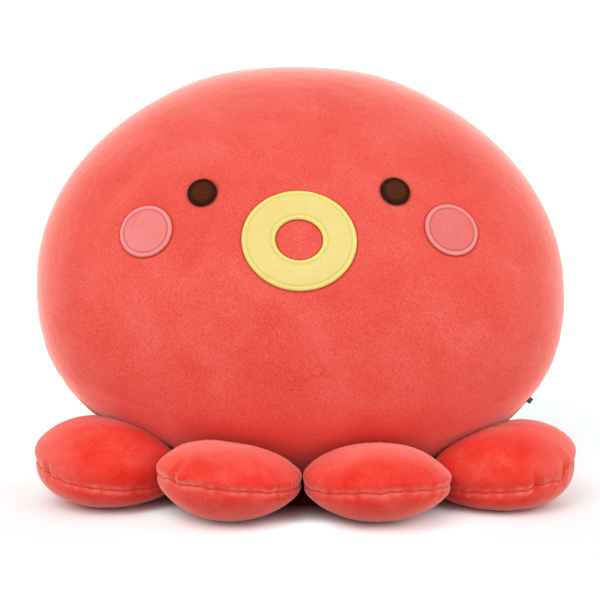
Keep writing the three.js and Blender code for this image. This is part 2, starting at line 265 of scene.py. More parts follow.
def pile_cloth(name, deep, plain, pale, parted, sheen_tint, grain_share=0.5, sheen=0.55,
               edge_sheen=0.0, painted_highlight=None, contact_shade_tint=None, patch_scale=26.0,
               fibre_scale=1400.0):
    """Brushed pile: patch colour, fibre mottle, sheen, parted seams, painted light and shade."""
    deep, plain, pale, parted, sheen_tint, painted_highlight, contact_shade_tint = (linear(*shade) for shade in (
        deep, plain, pale, parted, sheen_tint, painted_highlight or pale, contact_shade_tint or deep))
    material, tree, shader, place = new_shader(name)
    brushed = add_node(tree, "ShaderNodeTexNoise", {
        "Vector": place, "Scale": patch_scale, "Detail": 3.0, "Roughness": 0.55,
        "Distortion": 0.6,
    })
    patches = add_node(tree, "ShaderNodeValToRGB", {"Fac": brushed.outputs["Fac"]})
    ramp = patches.color_ramp
    ramp.elements[0].position, ramp.elements[0].color = 0.22, deep
    ramp.elements[1].position, ramp.elements[1].color = 0.78, pale
    ramp.elements.new(0.5).color = plain
    lay_of_pile = add_node(tree, "ShaderNodeMapping", {"Vector": place, "Scale": (1, 1, 0.6)})
    tips = add_node(tree, "ShaderNodeTexNoise", {
        "Vector": lay_of_pile.outputs[0], "Scale": fibre_scale, "Detail": 2.0,
        "Roughness": 0.6,
    }).outputs["Fac"]
    color = blended(tree, grain_share, patches.outputs["Color"], faded(tree, tips, 0.3, 0.7),
                    blend_type="OVERLAY")
    # The last two attributes are painted: a painted highlight beside seams with painted light on
    # the outer feet, then painted shade where cushions press together.
    for label, shade in (("parted_pile", parted), ("painted_highlight_pile", painted_highlight),
                         ("painted_contact_shade", contact_shade_tint)):
        share = add_node(tree, "ShaderNodeAttribute", attribute_name=label).outputs["Fac"]
        color = blended(tree, share, color, shade)
    finish_shader(tree, shader, color, tips, 0.6, 0.6 * mm, {
        "Roughness": 0.92, "Specular IOR Level": 0.15, "Sheen Weight": sheen,
        "Sheen Roughness": 0.4, "Sheen Tint": sheen_tint,
    })
    if edge_sheen > 0:
        facing = add_node(tree, "ShaderNodeLayerWeight", {"Blend": 0.5}).outputs["Facing"]
        rim = faded(tree, facing, edge_starts, edge_ends, 0.0, edge_sheen)
        open_rim = sum_of(tree, "MULTIPLY", rim, sum_of(tree, "SUBTRACT", 1.0, share))
        rim_fibres = add_node(tree, "ShaderNodeBsdfSheen", {
            "Color": blended(tree, open_rim, (0, 0, 0, 1), sheen_tint, clamp_factor=False),
            "Roughness": 0.6,
        })
        both = add_node(tree, "ShaderNodeAddShader", {
            0: shader.outputs[0], 1: rim_fibres.outputs[0],
        })
        tree.links.new(both.outputs[0], tree.nodes["Material Output"].inputs["Surface"])
    return material


# This parted colour serves the seams' parted pile and the painted shade round the face.
coral_parted_and_shade = (205, 66, 58)
coral_pile = pile_cloth(
    "coral_pile_cloth", (241, 80, 67), (247, 94, 81), (250, 108, 96), coral_parted_and_shade,
    (255, 205, 196), sheen=1.0, edge_sheen=1.4, contact_shade_tint=(200, 10, 4),
)
coral_foot_pile = pile_cloth(
    "coral_foot_pile_cloth", (241, 42, 28), (248, 68, 54), (250, 98, 84), (238, 52, 42),
    (255, 196, 186), grain_share=0.34, sheen=0.9, edge_sheen=0.3, painted_highlight=(255, 132, 118),
    contact_shade_tint=(206, 8, 3), patch_scale=48.0, fibre_scale=900.0,
)
coral_fuzz = pile_cloth(
    "coral_fuzz_cloth", (249, 98, 84), (252, 116, 101), (254, 136, 122), (222, 66, 55),
    (255, 212, 204), grain_share=0.1, sheen=1.0,
)
yellow_pile = pile_cloth(
    "yellow_pile_cloth", (247, 219, 130), (250, 227, 144), (253, 236, 158), (238, 210, 120),
    (255, 250, 220), grain_share=0.14,
)
pink_pile = pile_cloth(
    "pink_pile_cloth", (246, 130, 128), (250, 142, 139), (252, 152, 150), (226, 102, 100),
    (255, 220, 220), grain_share=0.16,
)
right_pink_pile = pile_cloth(
    "right_pink_pile_cloth", (241, 114, 109), (245, 126, 121), (248, 138, 134),
    (220, 92, 88), (255, 214, 214), grain_share=0.16,
)
brown_pile = pile_cloth(
    "brown_pile_cloth", (72, 31, 11), (82, 37, 14), (90, 44, 19), (58, 30, 14),
    (150, 110, 90), grain_share=0.3, sheen=0.12,
)
print("pile cloths:", coral_pile.name, yellow_pile.name, pink_pile.name, brown_pile.name)

# %% [markdown]
# Satin stitching is shiny thread laid side by side. Filling is loose white fibre, which
# nobody sees until a seam opens, and the care label is a dull woven ribbon. All are two
# shades in a fine noise, which also raises the surface.

# %% Thread, filling and ribbon materials
def fibre_material(name, color, shade, scale=1800.0, detail=2.0, strength=0.3,
                   depth=0.1 * mm, roughness=0.42, gloss=0.5):
    """Twisted thread, cloudy fibre or a ribbon's weave, by the scale of its noise."""
    material, tree, shader, place = new_shader(name)
    twist = add_node(tree, "ShaderNodeTexNoise", {
        "Vector": place, "Scale": scale, "Detail": detail,
    }).outputs["Fac"]
    mixed = blended(tree, twist, linear(*shade), linear(*color))
    finish_shader(tree, shader, mixed, twist, strength, depth, {
        "Roughness": roughness, "Specular IOR Level": gloss,
    })
    return material


yellow_satin = fibre_material("yellow_satin_thread", (255, 247, 152), (254, 241, 134))
pink_satin = fibre_material("pink_satin_thread", (255, 172, 168), (253, 155, 151))
brown_satin = fibre_material(
    "brown_satin_thread", (64, 34, 16), (48, 25, 11), roughness=0.6, gloss=0.08)
coral_thread = fibre_material("coral_thread", (222, 62, 52), (196, 46, 38), roughness=0.6)
white_filling = fibre_material(
    "filling_fibre", (250, 248, 243), (226, 222, 214), scale=120.0, detail=5.0,
    strength=0.8, depth=1.5 * mm, roughness=1.0)
grey_ribbon = fibre_material(
    "label_ribbon", (122, 120, 128), (80, 78, 86), scale=2600.0, detail=5.0,
    strength=0.8, roughness=0.7)
print("threads, filling and ribbon ready")

# %% [markdown]
# Every stuffed form here is a stack of rings from a middle point out to the seam. One
# helper skins such rings into a closed mesh whose faces point out, one closes two domed
# grids along the seam that they share, and one makes an object of the mesh.

# %% Skins over rings
def round_angles(count):
    """Angles all the way round, evenly spaced."""
    return np.arange(count) * (2 * math.pi / count)


def band_faces(first, second, count):
    """Quads between two rings of the same length, by the number of their first point."""
    step = np.arange(count)
    turned = (step + 1) % count
    return np.stack([first + step, first + turned, second + turned, second + step], 1)


def skin(rings, poles=None):
    """Points and faces over rings (ring, point, xyz), closed by poles or round and round."""
    rings = np.asarray(rings)
    ring_count, count = rings.shape[:2]
    points = rings.reshape(-1, 3)
    quads = [band_faces(k * count, (k + 1) * count, count) for k in range(ring_count - 1)]
    fans = []
    if poles is None:
        quads.append(band_faces((ring_count - 1) * count, 0, count))
    else:
        middle = len(points)
        last = (ring_count - 1) * count
        points = np.concatenate([points, np.asarray(poles).reshape(2, 3)])
        for i in range(count):
            j = (i + 1) % count
            fans.append((middle, j, i))
            fans.append((middle + 1, last + i, last + j))
    quads = np.concatenate(quads)
    a, b, c, d = (points[quads[:, k]] for k in range(4))
    volume = np.einsum("ij,ij->", a, np.cross(b, c)) + np.einsum("ij,ij->", a, np.cross(c, d))
    faces = quads.tolist() + fans
    return points, [face[::-1] for face in faces] if volume < 0 else faces


def lump(first, second):
    """Points and faces of a closed form between two domed grids."""
    return skin(np.concatenate([first, second[::-1]]), [first[0].mean(0), second[0].mean(0)])


def bare_object(name, points, faces, edges=()):
    """An object of points and faces, with no material yet."""
    mesh = bpy.data.meshes.new(name)
    mesh.from_pydata(np.asarray(points).tolist(), list(edges), faces)
    return put_in_scene(name, mesh)


def new_piece(name, points, faces, material):
    """A smooth shaded object at the origin, with its place in its mesh."""
    piece = bare_object(name, points, faces)
    mesh = piece.data
    mesh.polygons.foreach_set("use_smooth", [True] * len(mesh.polygons))
    mesh.materials.append(material)
    mesh.update()
    return piece


def write_shade(piece, label, values):
    """Stores a number for each point, and 0 for the points after the given ones."""
    whole = np.zeros(len(piece.data.vertices))
    whole[: values.size] = values.ravel()
    piece.data.attributes.new(label, "FLOAT", "POINT").data.foreach_set("value", whole)


print("ring skins ready")

# %% [markdown]
# The body is a pillow: its outline is nearly an ellipse, a little squarer below and with
# soft shoulders above, and its depth swells from the seam to the middle. It leans back,
# and it hangs a little to one side, as any hand stuffed toy does.

# %% Body form
body_half_width = 169.0 * mm
body_crown_height = 144.0 * mm
body_skirt_height = 128.3 * mm
body_half_depth = 88 * mm
body_lean = math.radians(28)
body_set_back = 2.6 * mm
body_centre_height = 129.6 * mm
crown_exponent, skirt_exponent, bulge_exponent = 1.975, 2.36, 2.3
shoulder_share, shoulder_angle, shoulder_width = 0.012, math.radians(20), math.radians(12)
sway_share = 0.027
sway_pivot_height = 30 * mm


def outline_share(angle, exponent):
    """How far a rounded outline reaches at an angle, as a share of its half sizes."""
    total = np.abs(np.cos(angle)) ** exponent + np.abs(np.sin(angle)) ** exponent
    return total ** (-1 / exponent)


def crown_or_skirt(above):
    """The half height and the outline's exponent above or below the middle."""
    return (np.where(above, body_crown_height, body_skirt_height),
            np.where(above, crown_exponent, skirt_exponent))


def body_surface(share, angle, face, inset=0.0):
    """The body's cloth in its own upright frame, for a share of the way to the seam."""
    height, exponent = crown_or_skirt(np.sin(angle) > 0)
    reach = share * outline_share(angle, exponent)
    off_top = np.arccos(np.clip(np.sin(angle), -1, 1))
    reach = reach * (1 + shoulder_share
                     * np.exp(-((off_top - shoulder_angle) / shoulder_width) ** 2))
    bulge = np.sqrt(np.clip(1 - share ** bulge_exponent, 0, None))
    return np.stack([
        (body_half_width - inset) * reach * np.cos(angle),
        face * (body_half_depth - inset) * bulge,
        (height - inset) * reach * np.sin(angle),
    ], -1)


def stand_body(points):
    """Leans the body's own points back, stands them in the row frame and lets them sway."""
    x, y, z = points[..., 0], points[..., 1], points[..., 2]
    back = y * math.cos(body_lean) + z * math.sin(body_lean) + body_set_back
    high = z * math.cos(body_lean) - y * math.sin(body_lean) + body_centre_height
    return np.stack([x - sway_share * (high - sway_pivot_height), back, high], -1)


print("body reaches", round(2 * body_half_width / mm), "mm across")

# %% [markdown]
# Rings lie close together beside the seam, where the cloth rolls in, and wider apart
# elsewhere. Normals and the distance to the seam are measured on the grid itself.

# %% Ring grids
def ring_shares(count, edge_start=1.0 - 1e-6, edge_count=0):
    """Shares of the way to the seam: even steps, then ever finer ones up to the seam."""
    even = np.linspace(edge_start / count, edge_start, count)
    left = 1 - np.arange(1, edge_count + 1) / max(edge_count, 1)
    fine = edge_start + (1 - edge_start) * (1 - left ** 1.4)
    return np.sin(np.concatenate([even, fine]) * (math.pi / 2))


def form_grid(surface, shares, segments):
    """Points (ring, segment, xyz) of a surface over shares and angles."""
    return surface(*np.meshgrid(shares, round_angles(segments), indexing="ij"))


def grid_normals(grid):
    """Outward unit normals of a domed grid."""
    along = np.gradient(grid, axis=0)
    around = np.roll(grid, -1, 1) - np.roll(grid, 1, 1)
    normals = np.cross(along, around)
    normals /= np.maximum(np.linalg.norm(normals, axis=-1, keepdims=True), 1e-12)
    middle = grid[-1].mean(0)
    outward = np.einsum("ijk,ijk->", normals, grid - middle) > 0
    return normals if outward else -normals


def seam_distance(grid):
    """How far each point lies from the seam, measured along the cloth."""
    steps = np.linalg.norm(np.diff(grid, axis=0), axis=-1)
    away = np.cumsum(steps[::-1], axis=0)[::-1]
    return np.concatenate([away, np.zeros((1, grid.shape[1]))])


print("grids ready")

# %% [markdown]
# A stuffed form gets its fullness from a real inflation: the closed cloth is remeshed
# evenly, Blender's Cloth blows it up for 20 frames from a slightly smaller shape, and no
# point may move further than the cap. The finished panels then take their hollows and
# swells from that cloth, so the seams keep their own fine grid, which the remesh would
# erase, and the toy keeps its size.

# %% Cloth inflation
inflation_pressure = 4.0
inflation_frames = 20
cloth_mass = 0.001
cloth_stiffness = 2.0
relief_limit = 4 * mm


def evaluated_mesh(thing):
    """A new plain mesh of an object with its modifiers."""
    graph = bpy.context.evaluated_depsgraph_get()
    return bpy.data.meshes.new_from_object(thing.evaluated_get(graph))


def mesh_points(mesh):
    """A mesh's points as an array."""
    flat = np.zeros(len(mesh.vertices) * 3)
    mesh.vertices.foreach_get("co", flat)
    return flat.reshape(-1, 3)


def blow_up(name, inner_form, voxel, cap):
    """The swollen cloth as a search tree."""
    thing = bare_object(name, *inner_form)
    remesh = thing.modifiers.new("even_cloth", "REMESH")
    remesh.mode = "VOXEL"
    remesh.voxel_size = voxel
    thing.data = evaluated_mesh(thing)
    thing.modifiers.remove(remesh)
    start = mesh_points(thing.data)
    cloth = thing.modifiers.new("pressure", "CLOTH")
    cloth.settings.use_pressure = True
    cloth.settings.uniform_pressure_force = inflation_pressure
    cloth.settings.effector_weights.gravity = 0
    cloth.settings.mass = cloth_mass
    cloth.settings.tension_stiffness = cloth_stiffness
    cloth.settings.compression_stiffness = cloth_stiffness
    cloth.settings.shear_stiffness = cloth_stiffness / 3
    cloth.collision_settings.use_collision = False
    cloth.point_cache.frame_start = 1
    cloth.point_cache.frame_end = inflation_frames
    for step in range(1, inflation_frames + 1):
        scene.frame_set(step)
    moved = mesh_points(evaluated_mesh(thing)) - start
    thing.modifiers.remove(cloth)
    scene.frame_set(1)
    far = np.linalg.norm(moved, axis=1, keepdims=True)
    moved *= np.minimum(1, cap / np.maximum(far, 1e-9))
    thing.data.vertices.foreach_set("co", (start + moved).ravel())
    print(name, len(start), "points, moved", round(float(far.mean()) / mm, 1), "mm")
    finer = thing.modifiers.new("finer", "SUBSURF")
    finer.levels = finer.render_levels = 1
    swollen = evaluated_mesh(thing)
    tree = BVHTree.FromPolygons(
        mesh_points(swollen).tolist(), [list(face.vertices) for face in swollen.polygons]
    )
    bpy.data.objects.remove(thing)
    return tree


def smoothed(field, rounds):
    """Evens out a field on a domed grid."""
    for _ in range(rounds):
        ring_mean = (np.roll(field, 1, 1) + np.roll(field, -1, 1)) / 2
        pole = field[:1].mean(1, keepdims=True) + 0 * field[:1]
        padded = np.concatenate([pole, field, field[-1:]])
        column_mean = (padded[:-2] + padded[2:]) / 2
        field = (2 * field + ring_mean + column_mean) / 4
    return field


def follow_cloth(grid, tree, reach, seam_hold, rounds=40):
    """Gives a grid the swollen cloth's relief, which fades out towards the seam."""
    normals = grid_normals(grid)
    depth = np.zeros(grid.shape[:2])
    for spot in np.ndindex(depth.shape):
        normal = Vector(normals[spot])
        hit = tree.ray_cast(Vector(grid[spot]) + normal * reach, -normal, 3 * reach)
        if hit[0] is not None:
            depth[spot] = reach - hit[3]
    away = seam_distance(grid)
    relief = smoothed(np.clip(depth, -relief_limit, relief_limit), rounds)
    relief -= np.median(relief[away > seam_hold])
    relief *= 1 - np.exp(-(away / seam_hold) ** 2)
    print("  relief from", round(relief.min() / mm, 2), "to", round(relief.max() / mm, 2), "mm")
    return grid + normals * relief[..., None]


print("inflation ready, skipped now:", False)

# %% [markdown]
# Beside a seam the stitches pull the cloth in, so it rolls into a narrow groove with
# small puckers across it. Further out only the brushed pile breaks the surface. At the
# outer ends of the feet the pile gets painted light and turns paler.

# %% Seam rolls, puckers and nap
nap_height = 0.16 * mm
nap_spacing = 3.4 * mm
outer_starts, outer_ends = 134 * mm, 168 * mm
outer_painted_light, highlight_share = 0.55, 0.8
push_turn = 1.5 * mm
nap_fade = 2 * mm


def wander(angle, cycles, seed):
    """A smooth random wave round a seam, from about -1 to 1, that closes on itself."""
    draw = np.random.default_rng(seed)
    total = np.zeros_like(angle)
    for count in cycles:
        total += draw.uniform(0.5, 1) * np.sin(count * angle + draw.uniform(0, 2 * math.pi))
    return total / math.sqrt(len(cycles))


def seam_push(grid):
    """Ways to move cloth: out from the middle at the seam, along its normal further on."""
    ring = grid[-1] - grid[-1].mean(0)
    ring /= np.linalg.norm(ring, axis=-1, keepdims=True)
    away = seam_distance(grid)[..., None]
    blend = away / (away + push_turn)
    return grid_normals(grid) * blend + ring[None] * (1 - blend)


def roll_seam(grid, depth, width, valley, pucker, pucker_reach, cycles, seed):
    """Pulls the cloth in at its seam, in a fine groove and a soft valley, and puckers it."""
    push = seam_push(grid)
    away = seam_distance(grid)
    wave = wander(round_angles(grid.shape[1]), cycles, seed)[None, :]
    groove = -depth * np.exp(-(away / width) ** 2) - valley * np.exp(-away / (4 * width))
    ripple = pucker * wave * np.exp(-away / pucker_reach) * (1 - np.exp(-away / width))
    return grid + push * (groove + ripple)[..., None]


def raise_nap(grid, height=nap_height, spacing=nap_spacing):
    """Lifts the brushed pile in soft tufts, fading out at the seam."""
    normals = grid_normals(grid)
    away = seam_distance(grid)
    flat = (grid / spacing).reshape(-1, 3)
    lift = np.array([noise.noise(Vector(point)) for point in flat]).reshape(grid.shape[:2])
    return grid + normals * (height * lift * np.clip(away / nap_fade, 0, 1))[..., None]


def seam_shades(grid, dark_width, fuzz_width, cycles, seed, outer_light=0.0):
    """Parted pile in the groove and a painted highlight beside it, for each point, from 0 to 1.

    Pile far out to the side gets a share of painted light too.
    """
    away = seam_distance(grid)
    patchy = 0.5 + 0.5 * wander(round_angles(grid.shape[1]), cycles, seed)
    patchy = np.clip(patchy, 0, 1)[None, :]
    parted = np.exp(-(away / dark_width) ** 2)
    # Painted highlight beside the seam, and painted light on the pile of the outer feet.
    painted_highlight = patchy * np.exp(-((away - fuzz_width) / fuzz_width) ** 2) * (1 - parted)
    outer = np.clip((np.abs(grid[..., 0]) - outer_starts) / (outer_ends - outer_starts), 0, 1)
    return parted, np.maximum(highlight_share * painted_highlight, outer_light * outer * (1 - parted))


print("seam tools ready")

# %% [markdown]
# A panel is a bowl of cloth with a real thickness: the outer grid, and a coarser inner
# wall one cloth thickness further in, joined along the seam.

# %% Cloth panels
pile_cloth_thickness = 1.6 * mm


def cloth_panel(name, grid, material, shades, thickness=pile_cloth_thickness, wall_step=6):
    """A closed panel from an outer grid, with the seam shades as attributes."""
    normals = grid_normals(grid)
    chosen = sorted(set(range(wall_step - 1, grid.shape[0], wall_step)) | {grid.shape[0] - 1})
    wall = (grid - normals * thickness)[chosen]
    piece = new_piece(name, *lump(grid, wall), material)
    for label, values in zip(("parted_pile", "painted_highlight_pile"), shades):
        write_shade(piece, label, values)
    return piece


print("panel builder ready")

# %% [markdown]
# The body has a front and a back panel. Both follow one inflated cloth, so they meet all
# round. The pile stands off the cloth, but not where the body rests on its feet, and the
# outer left foot presses the underside up a little.

# %% Body forms
body_segments = 384
body_shares = ring_shares(112, 0.955, 12)
inner_shares, inner_segments = ring_shares(26), 96
inflation_inset = 3.5 * mm
inflation_cap = 4.5 * mm
body_voxel = 5 * mm
panel_gap = 0.03 * mm
pile_stand = 1.5 * mm
resting_slope, resting_fade = -0.35, 0.25
underside_starts, underside_fade = 0.1, 0.3
pressed_x, pressed_y = -98 * mm, -50 * mm
pressed_width, pressed_rise = 34 * mm, 6.5 * mm


def body_face(face, inset=0.0):
    """One side of the body as a surface in the row frame, a hair off the seam plane."""
    def surface(share, angle):
        points = body_surface(share, angle, face, inset)
        points[..., 1] += face * panel_gap
        return stand_body(points)
    return surface


def body_halves(shares, segments, inset=0.0):
    """The front and the back of the body as grids."""
    return [form_grid(body_face(face, inset), shares, segments) for face in (-1, 1)]


def pressed_up(x, y):
    """How far the outer left foot presses the body up, over places on the floor."""
    across, along = (x - pressed_x) / pressed_width, (y - pressed_y) / pressed_width
    return pressed_rise * np.exp(-across ** 2 - along ** 2)


def stand_proud(grid):
    """Lets the pile stand off the cloth, but not where the body rests on its feet."""
    normals = grid_normals(grid)
    slope = normals[..., 2:]
    free = np.clip((slope - resting_slope + resting_fade) / resting_fade, 0, 1)
    placed = grid + normals * pile_stand * free
    below = np.clip((-slope[..., 0] - underside_starts) / underside_fade, 0, 1)
    placed[..., 2] += below * pressed_up(grid[..., 0], grid[..., 1])
    return placed


inner_body = lump(*body_halves(inner_shares, inner_segments, inflation_inset))
body_cloth = blow_up("body_cloth", inner_body, body_voxel, inflation_cap)
body_forms = {}
for word, form in zip(("front", "back"), body_halves(body_shares, body_segments)):
    body_forms[word] = follow_cloth(
        stand_proud(form), body_cloth, reach=12 * mm, seam_hold=14 * mm)
print("body grids", body_forms["front"].shape)

# %% [markdown]
# The face lies on the front panel. Places are measured in the plane of the body's seam,
# as they were cut: how far aside of the middle and how far up. A lay is a function that
# puts a radius and an angle round such a place onto the cloth, with a lift above it.

# %% Places on the face
front_points, front_faces = lump(body_forms["front"], body_forms["back"])
front_tree = BVHTree.FromPolygons(front_points.tolist(), front_faces)
slope_step = 0.5 * mm


def face_depth(x, rise):
    """The depth of the body's front over its seam plane."""
    height, exponent = crown_or_skirt(rise > 0)
    total = np.abs(x / body_half_width) ** exponent + np.abs(rise / height) ** exponent
    return -body_half_depth * np.sqrt(np.clip(1 - total ** (bulge_exponent / exponent), 0, None))


def face_frame(aside, rise):
    """A point of the front and two tangents there, in the upright frame."""
    step = slope_step
    point = np.array([aside, face_depth(aside, rise), rise])
    slope_x = (face_depth(aside + step, rise) - face_depth(aside - step, rise)) / (2 * step)
    slope_z = (face_depth(aside, rise + step) - face_depth(aside, rise - step)) / (2 * step)
    normal = np.array([slope_x, -1, slope_z])
    normal /= np.linalg.norm(normal)
    across = np.cross(normal, [0, 0, 1])
    across /= np.linalg.norm(across)
    across *= np.sign(across[0])
    upward = np.cross(across, normal)
    upward *= np.sign(upward[2])
    return point, across, upward


def lay_on_face(aside, rise, oval=1.0):
    """A function from radius, angle and lift to points and normals on the cloth."""
    point, across, upward = face_frame(aside, rise)

    def lay(radius, angle, lift):
        radius, angle, lift = np.broadcast_arrays(radius, angle, lift)
        spot = (point + radius[..., None] * np.cos(angle)[..., None] * across
                + oval * radius[..., None] * np.sin(angle)[..., None] * upward)
        flat = spot.copy()
        flat[..., 1] = face_depth(spot[..., 0], spot[..., 2])
        placed = stand_body(flat).reshape(-1, 3)
        normals = np.zeros_like(placed)
        for k, start in enumerate(placed):
            hit, normal, _, _ = front_tree.find_nearest(Vector(start))
            placed[k] = hit
            normals[k] = normal
        placed, normals = placed.reshape(spot.shape), normals.reshape(spot.shape)
        for _ in range(2):
            normals = (np.roll(normals, 1, -2) + 2 * normals + np.roll(normals, -1, -2)) / 4
        normals /= np.linalg.norm(normals, axis=-1, keepdims=True)
        return placed + normals * lift[..., None], normals

    return lay


eye_radius, eye_border = 9.1 * mm, 2.1 * mm
cheek_radius, cheek_border = 17.0 * mm, 2.4 * mm
mouth_radius, mouth_hole, mouth_border = 34.8 * mm, 14.6 * mm, 2.9 * mm
mouth_oval = 0.905
face_places = {
    "mouth": (0.4 * mm, -3.5 * mm, mouth_oval),
    "left_eye": (-58.1 * mm, 29.0 * mm, 1.0),
    "right_eye": (59.8 * mm, 30.0 * mm, 1.0),
    "left_cheek": (-93.1 * mm, 6.5 * mm, 0.97),
    "right_cheek": (93.5 * mm, 7.5 * mm, 0.97),
}
face_lays = {name: lay_on_face(*place) for name, place in face_places.items()}
print("face places:", sorted(face_lays))

# %% [markdown]
# The stitches press the pile down along the edge of each face piece, and just beside it
# a thin darker line is parted pile and painted shade of the raised border. That line is in
# the body cloth's material: it is drawn by the distance to each stitched circle, along two
# axes that measure the circle flat.

# %% Front and back panels
press_depth = 0.7 * mm
press_width = 1.3 * mm
press_reach = 6 * mm
shade_line_width = 1.2 * mm
shade_line_strength = 0.85
body_pucker_cycles = (29, 41, 53, 67, 83)
pressed_circles = [
    ("mouth", mouth_radius), ("mouth", mouth_hole), ("left_eye", eye_radius),
    ("right_eye", eye_radius), ("left_cheek", cheek_radius), ("right_cheek", cheek_radius),
]
shade_line_places = {(name, radius): 0.5 * mm for name, radius in pressed_circles}
shade_line_places["mouth", mouth_hole] = -0.4 * mm


def pressed(grid):
    """Sinks the pile along the edge of each embroidered piece."""
    sink = np.zeros(grid.shape[:2])
    for name, radius in pressed_circles:
        rim, _ = face_lays[name](radius, np.arange(0, 2 * math.pi, 0.05), 0.0)
        low, high = rim.min(0) - press_reach, rim.max(0) + press_reach
        near = np.all((grid > low) & (grid < high), axis=-1)
        gap = np.linalg.norm(grid[near][:, None, :] - rim[None, :, :], axis=-1).min(1)
        sink[near] = np.maximum(sink[near], np.exp(-(gap / press_width) ** 2))
    return grid - grid_normals(grid) * (press_depth * sink)[..., None]


def measuring_axes(name, radius):
    """The middle of a stitched circle, and two directions that measure its flat size."""
    turn = np.arange(0, 2 * math.pi, 0.1)
    rim, _ = face_lays[name](radius, turn, 0.0)
    circle = radius * np.stack([np.cos(turn), np.sin(turn)], -1)
    axes = np.linalg.lstsq(rim - rim.mean(0), circle, rcond=None)[0]
    return tuple(rim.mean(0)), tuple(axes[:, 0]), tuple(axes[:, 1])


def shade_line_round(tree, place, name, radius, aside_by):
    """How deep a point lies in the parted, painted-shade line just beside a stitched circle, 0 to
    1.
    """
    centre, across, upward = measuring_axes(name, radius)
    away = vector_of(tree, "SUBTRACT", place, centre)
    flat = add_node(tree, "ShaderNodeCombineXYZ", {
        "X": vector_of(tree, "DOT_PRODUCT", away, across),
        "Y": vector_of(tree, "DOT_PRODUCT", away, upward),
    }).outputs[0]
    off = sum_of(tree, "SUBTRACT", vector_of(tree, "LENGTH", flat), radius + aside_by)
    line = faded(tree, sum_of(tree, "ABSOLUTE", off), 0.0, shade_line_width, shade_line_strength, 0.0)
    near = sum_of(tree, "LESS_THAN", vector_of(tree, "LENGTH", away), 2 * radius)
    return sum_of(tree, "MULTIPLY", line, near)


def paint_shade_round_face(material, parted):
    """Paints a darker line of parted pile and painted shade round every stitched circle."""
    tree = material.node_tree
    color = tree.nodes["Principled BSDF"].inputs["Base Color"]
    place = add_node(tree, "ShaderNodeTexCoord").outputs["Object"]
    total = 0.0
    for name, radius in pressed_circles:
        line = shade_line_round(tree, place, name, radius, shade_line_places[name, radius])
        total = sum_of(tree, "MAXIMUM", total, line)
    tree.links.new(blended(tree, total, color.links[0].from_socket, parted), color)


paint_shade_round_face(coral_pile, linear(*coral_parted_and_shade))

body_panels = {}
for word, seed in (("front", 11), ("back", 12)):
    grid = pressed(body_forms[word]) if word == "front" else body_forms[word]
    grid = raise_nap(roll_seam(
        grid, depth=0.6 * mm, width=0.9 * mm, valley=0.8 * mm, pucker=0.3 * mm,
        pucker_reach=9 * mm, cycles=body_pucker_cycles, seed=7,
    ))
    shades = seam_shades(grid, dark_width=0.8 * mm, fuzz_width=1.5 * mm,
                         cycles=(9, 17, 31, 47), seed=seed)
    body_panels[word] = cloth_panel(f"{word}_panel", grid, coral_pile, shades)
    print(body_panels[word].name, len(body_panels[word].data.polygons), "faces")

# %% [markdown]
# Each foot is two panels too. It is an oval cushion, flat underneath where it stands, and
# its root lies under the body, which presses its top down. To know how low the body
# hangs over a foot, its underside is found by narrowing down a range of heights.

# %% The body's underside
search_rounds = 40


def body_level(x, y, z):
    """Below zero inside the swaying body, above zero outside."""
    x = x + sway_share * (z - sway_pivot_height)
    across, above = y - body_set_back, z - body_centre_height
    rise = across * math.sin(body_lean) + above * math.cos(body_lean)
    depth = across * math.cos(body_lean) - above * math.sin(body_lean)
    height, exponent = crown_or_skirt(rise > 0)
    total = np.abs(x / body_half_width) ** exponent + np.abs(rise / height) ** exponent
    return total ** (bulge_exponent / exponent) + (depth / body_half_depth) ** 2 - 1


def body_underside(x, y):
    """Height of the body over places on the floor, or infinity beside the body."""
    low, high = np.zeros_like(x), np.full_like(x, 2 * body_centre_height)
    for _ in range(search_rounds):
        third = (high - low) / 3
        lower = body_level(x, y, low + third) < body_level(x, y, high - third)
        high = np.where(lower, high - third, high)
        low = np.where(lower, low, low + third)
    covered = body_level(x, y, low) <= 0
    outside, inside = np.zeros_like(x), low
    for _ in range(search_rounds):
        middle = (outside + inside) / 2
        free = body_level(x, y, middle) > 0
        outside = np.where(free, middle, outside)
        inside = np.where(free, inside, middle)
    return np.where(covered, outside + pressed_up(x, y), np.inf)


print("underside at the middle in mm:",
      round(float(body_underside(np.array([0.0]), np.array([0.0]))[0]) / mm, 1))

# %% [markdown]
# The eight feet differ in size, in how far they turn out and in their folds. Sizes are
# those of the CAD solids. The widths in front are a little fuller, because pile stands
# out, and those behind a little less full, so that the feet droop clear of each other.
# Each foot's own values say how its stuffing came out: how much wider it swells, how far
# it sits aside, how its seam lifts, rolls and drops at the sides, how its crown is
# higher or fuller on one side, and how full its sole is. A fold is a crease that starts
# at the seam: its angle round the foot, how deep and wide it is, how far it reaches up,
# how much the cloth swells beside it, and how much higher one side of it stands.

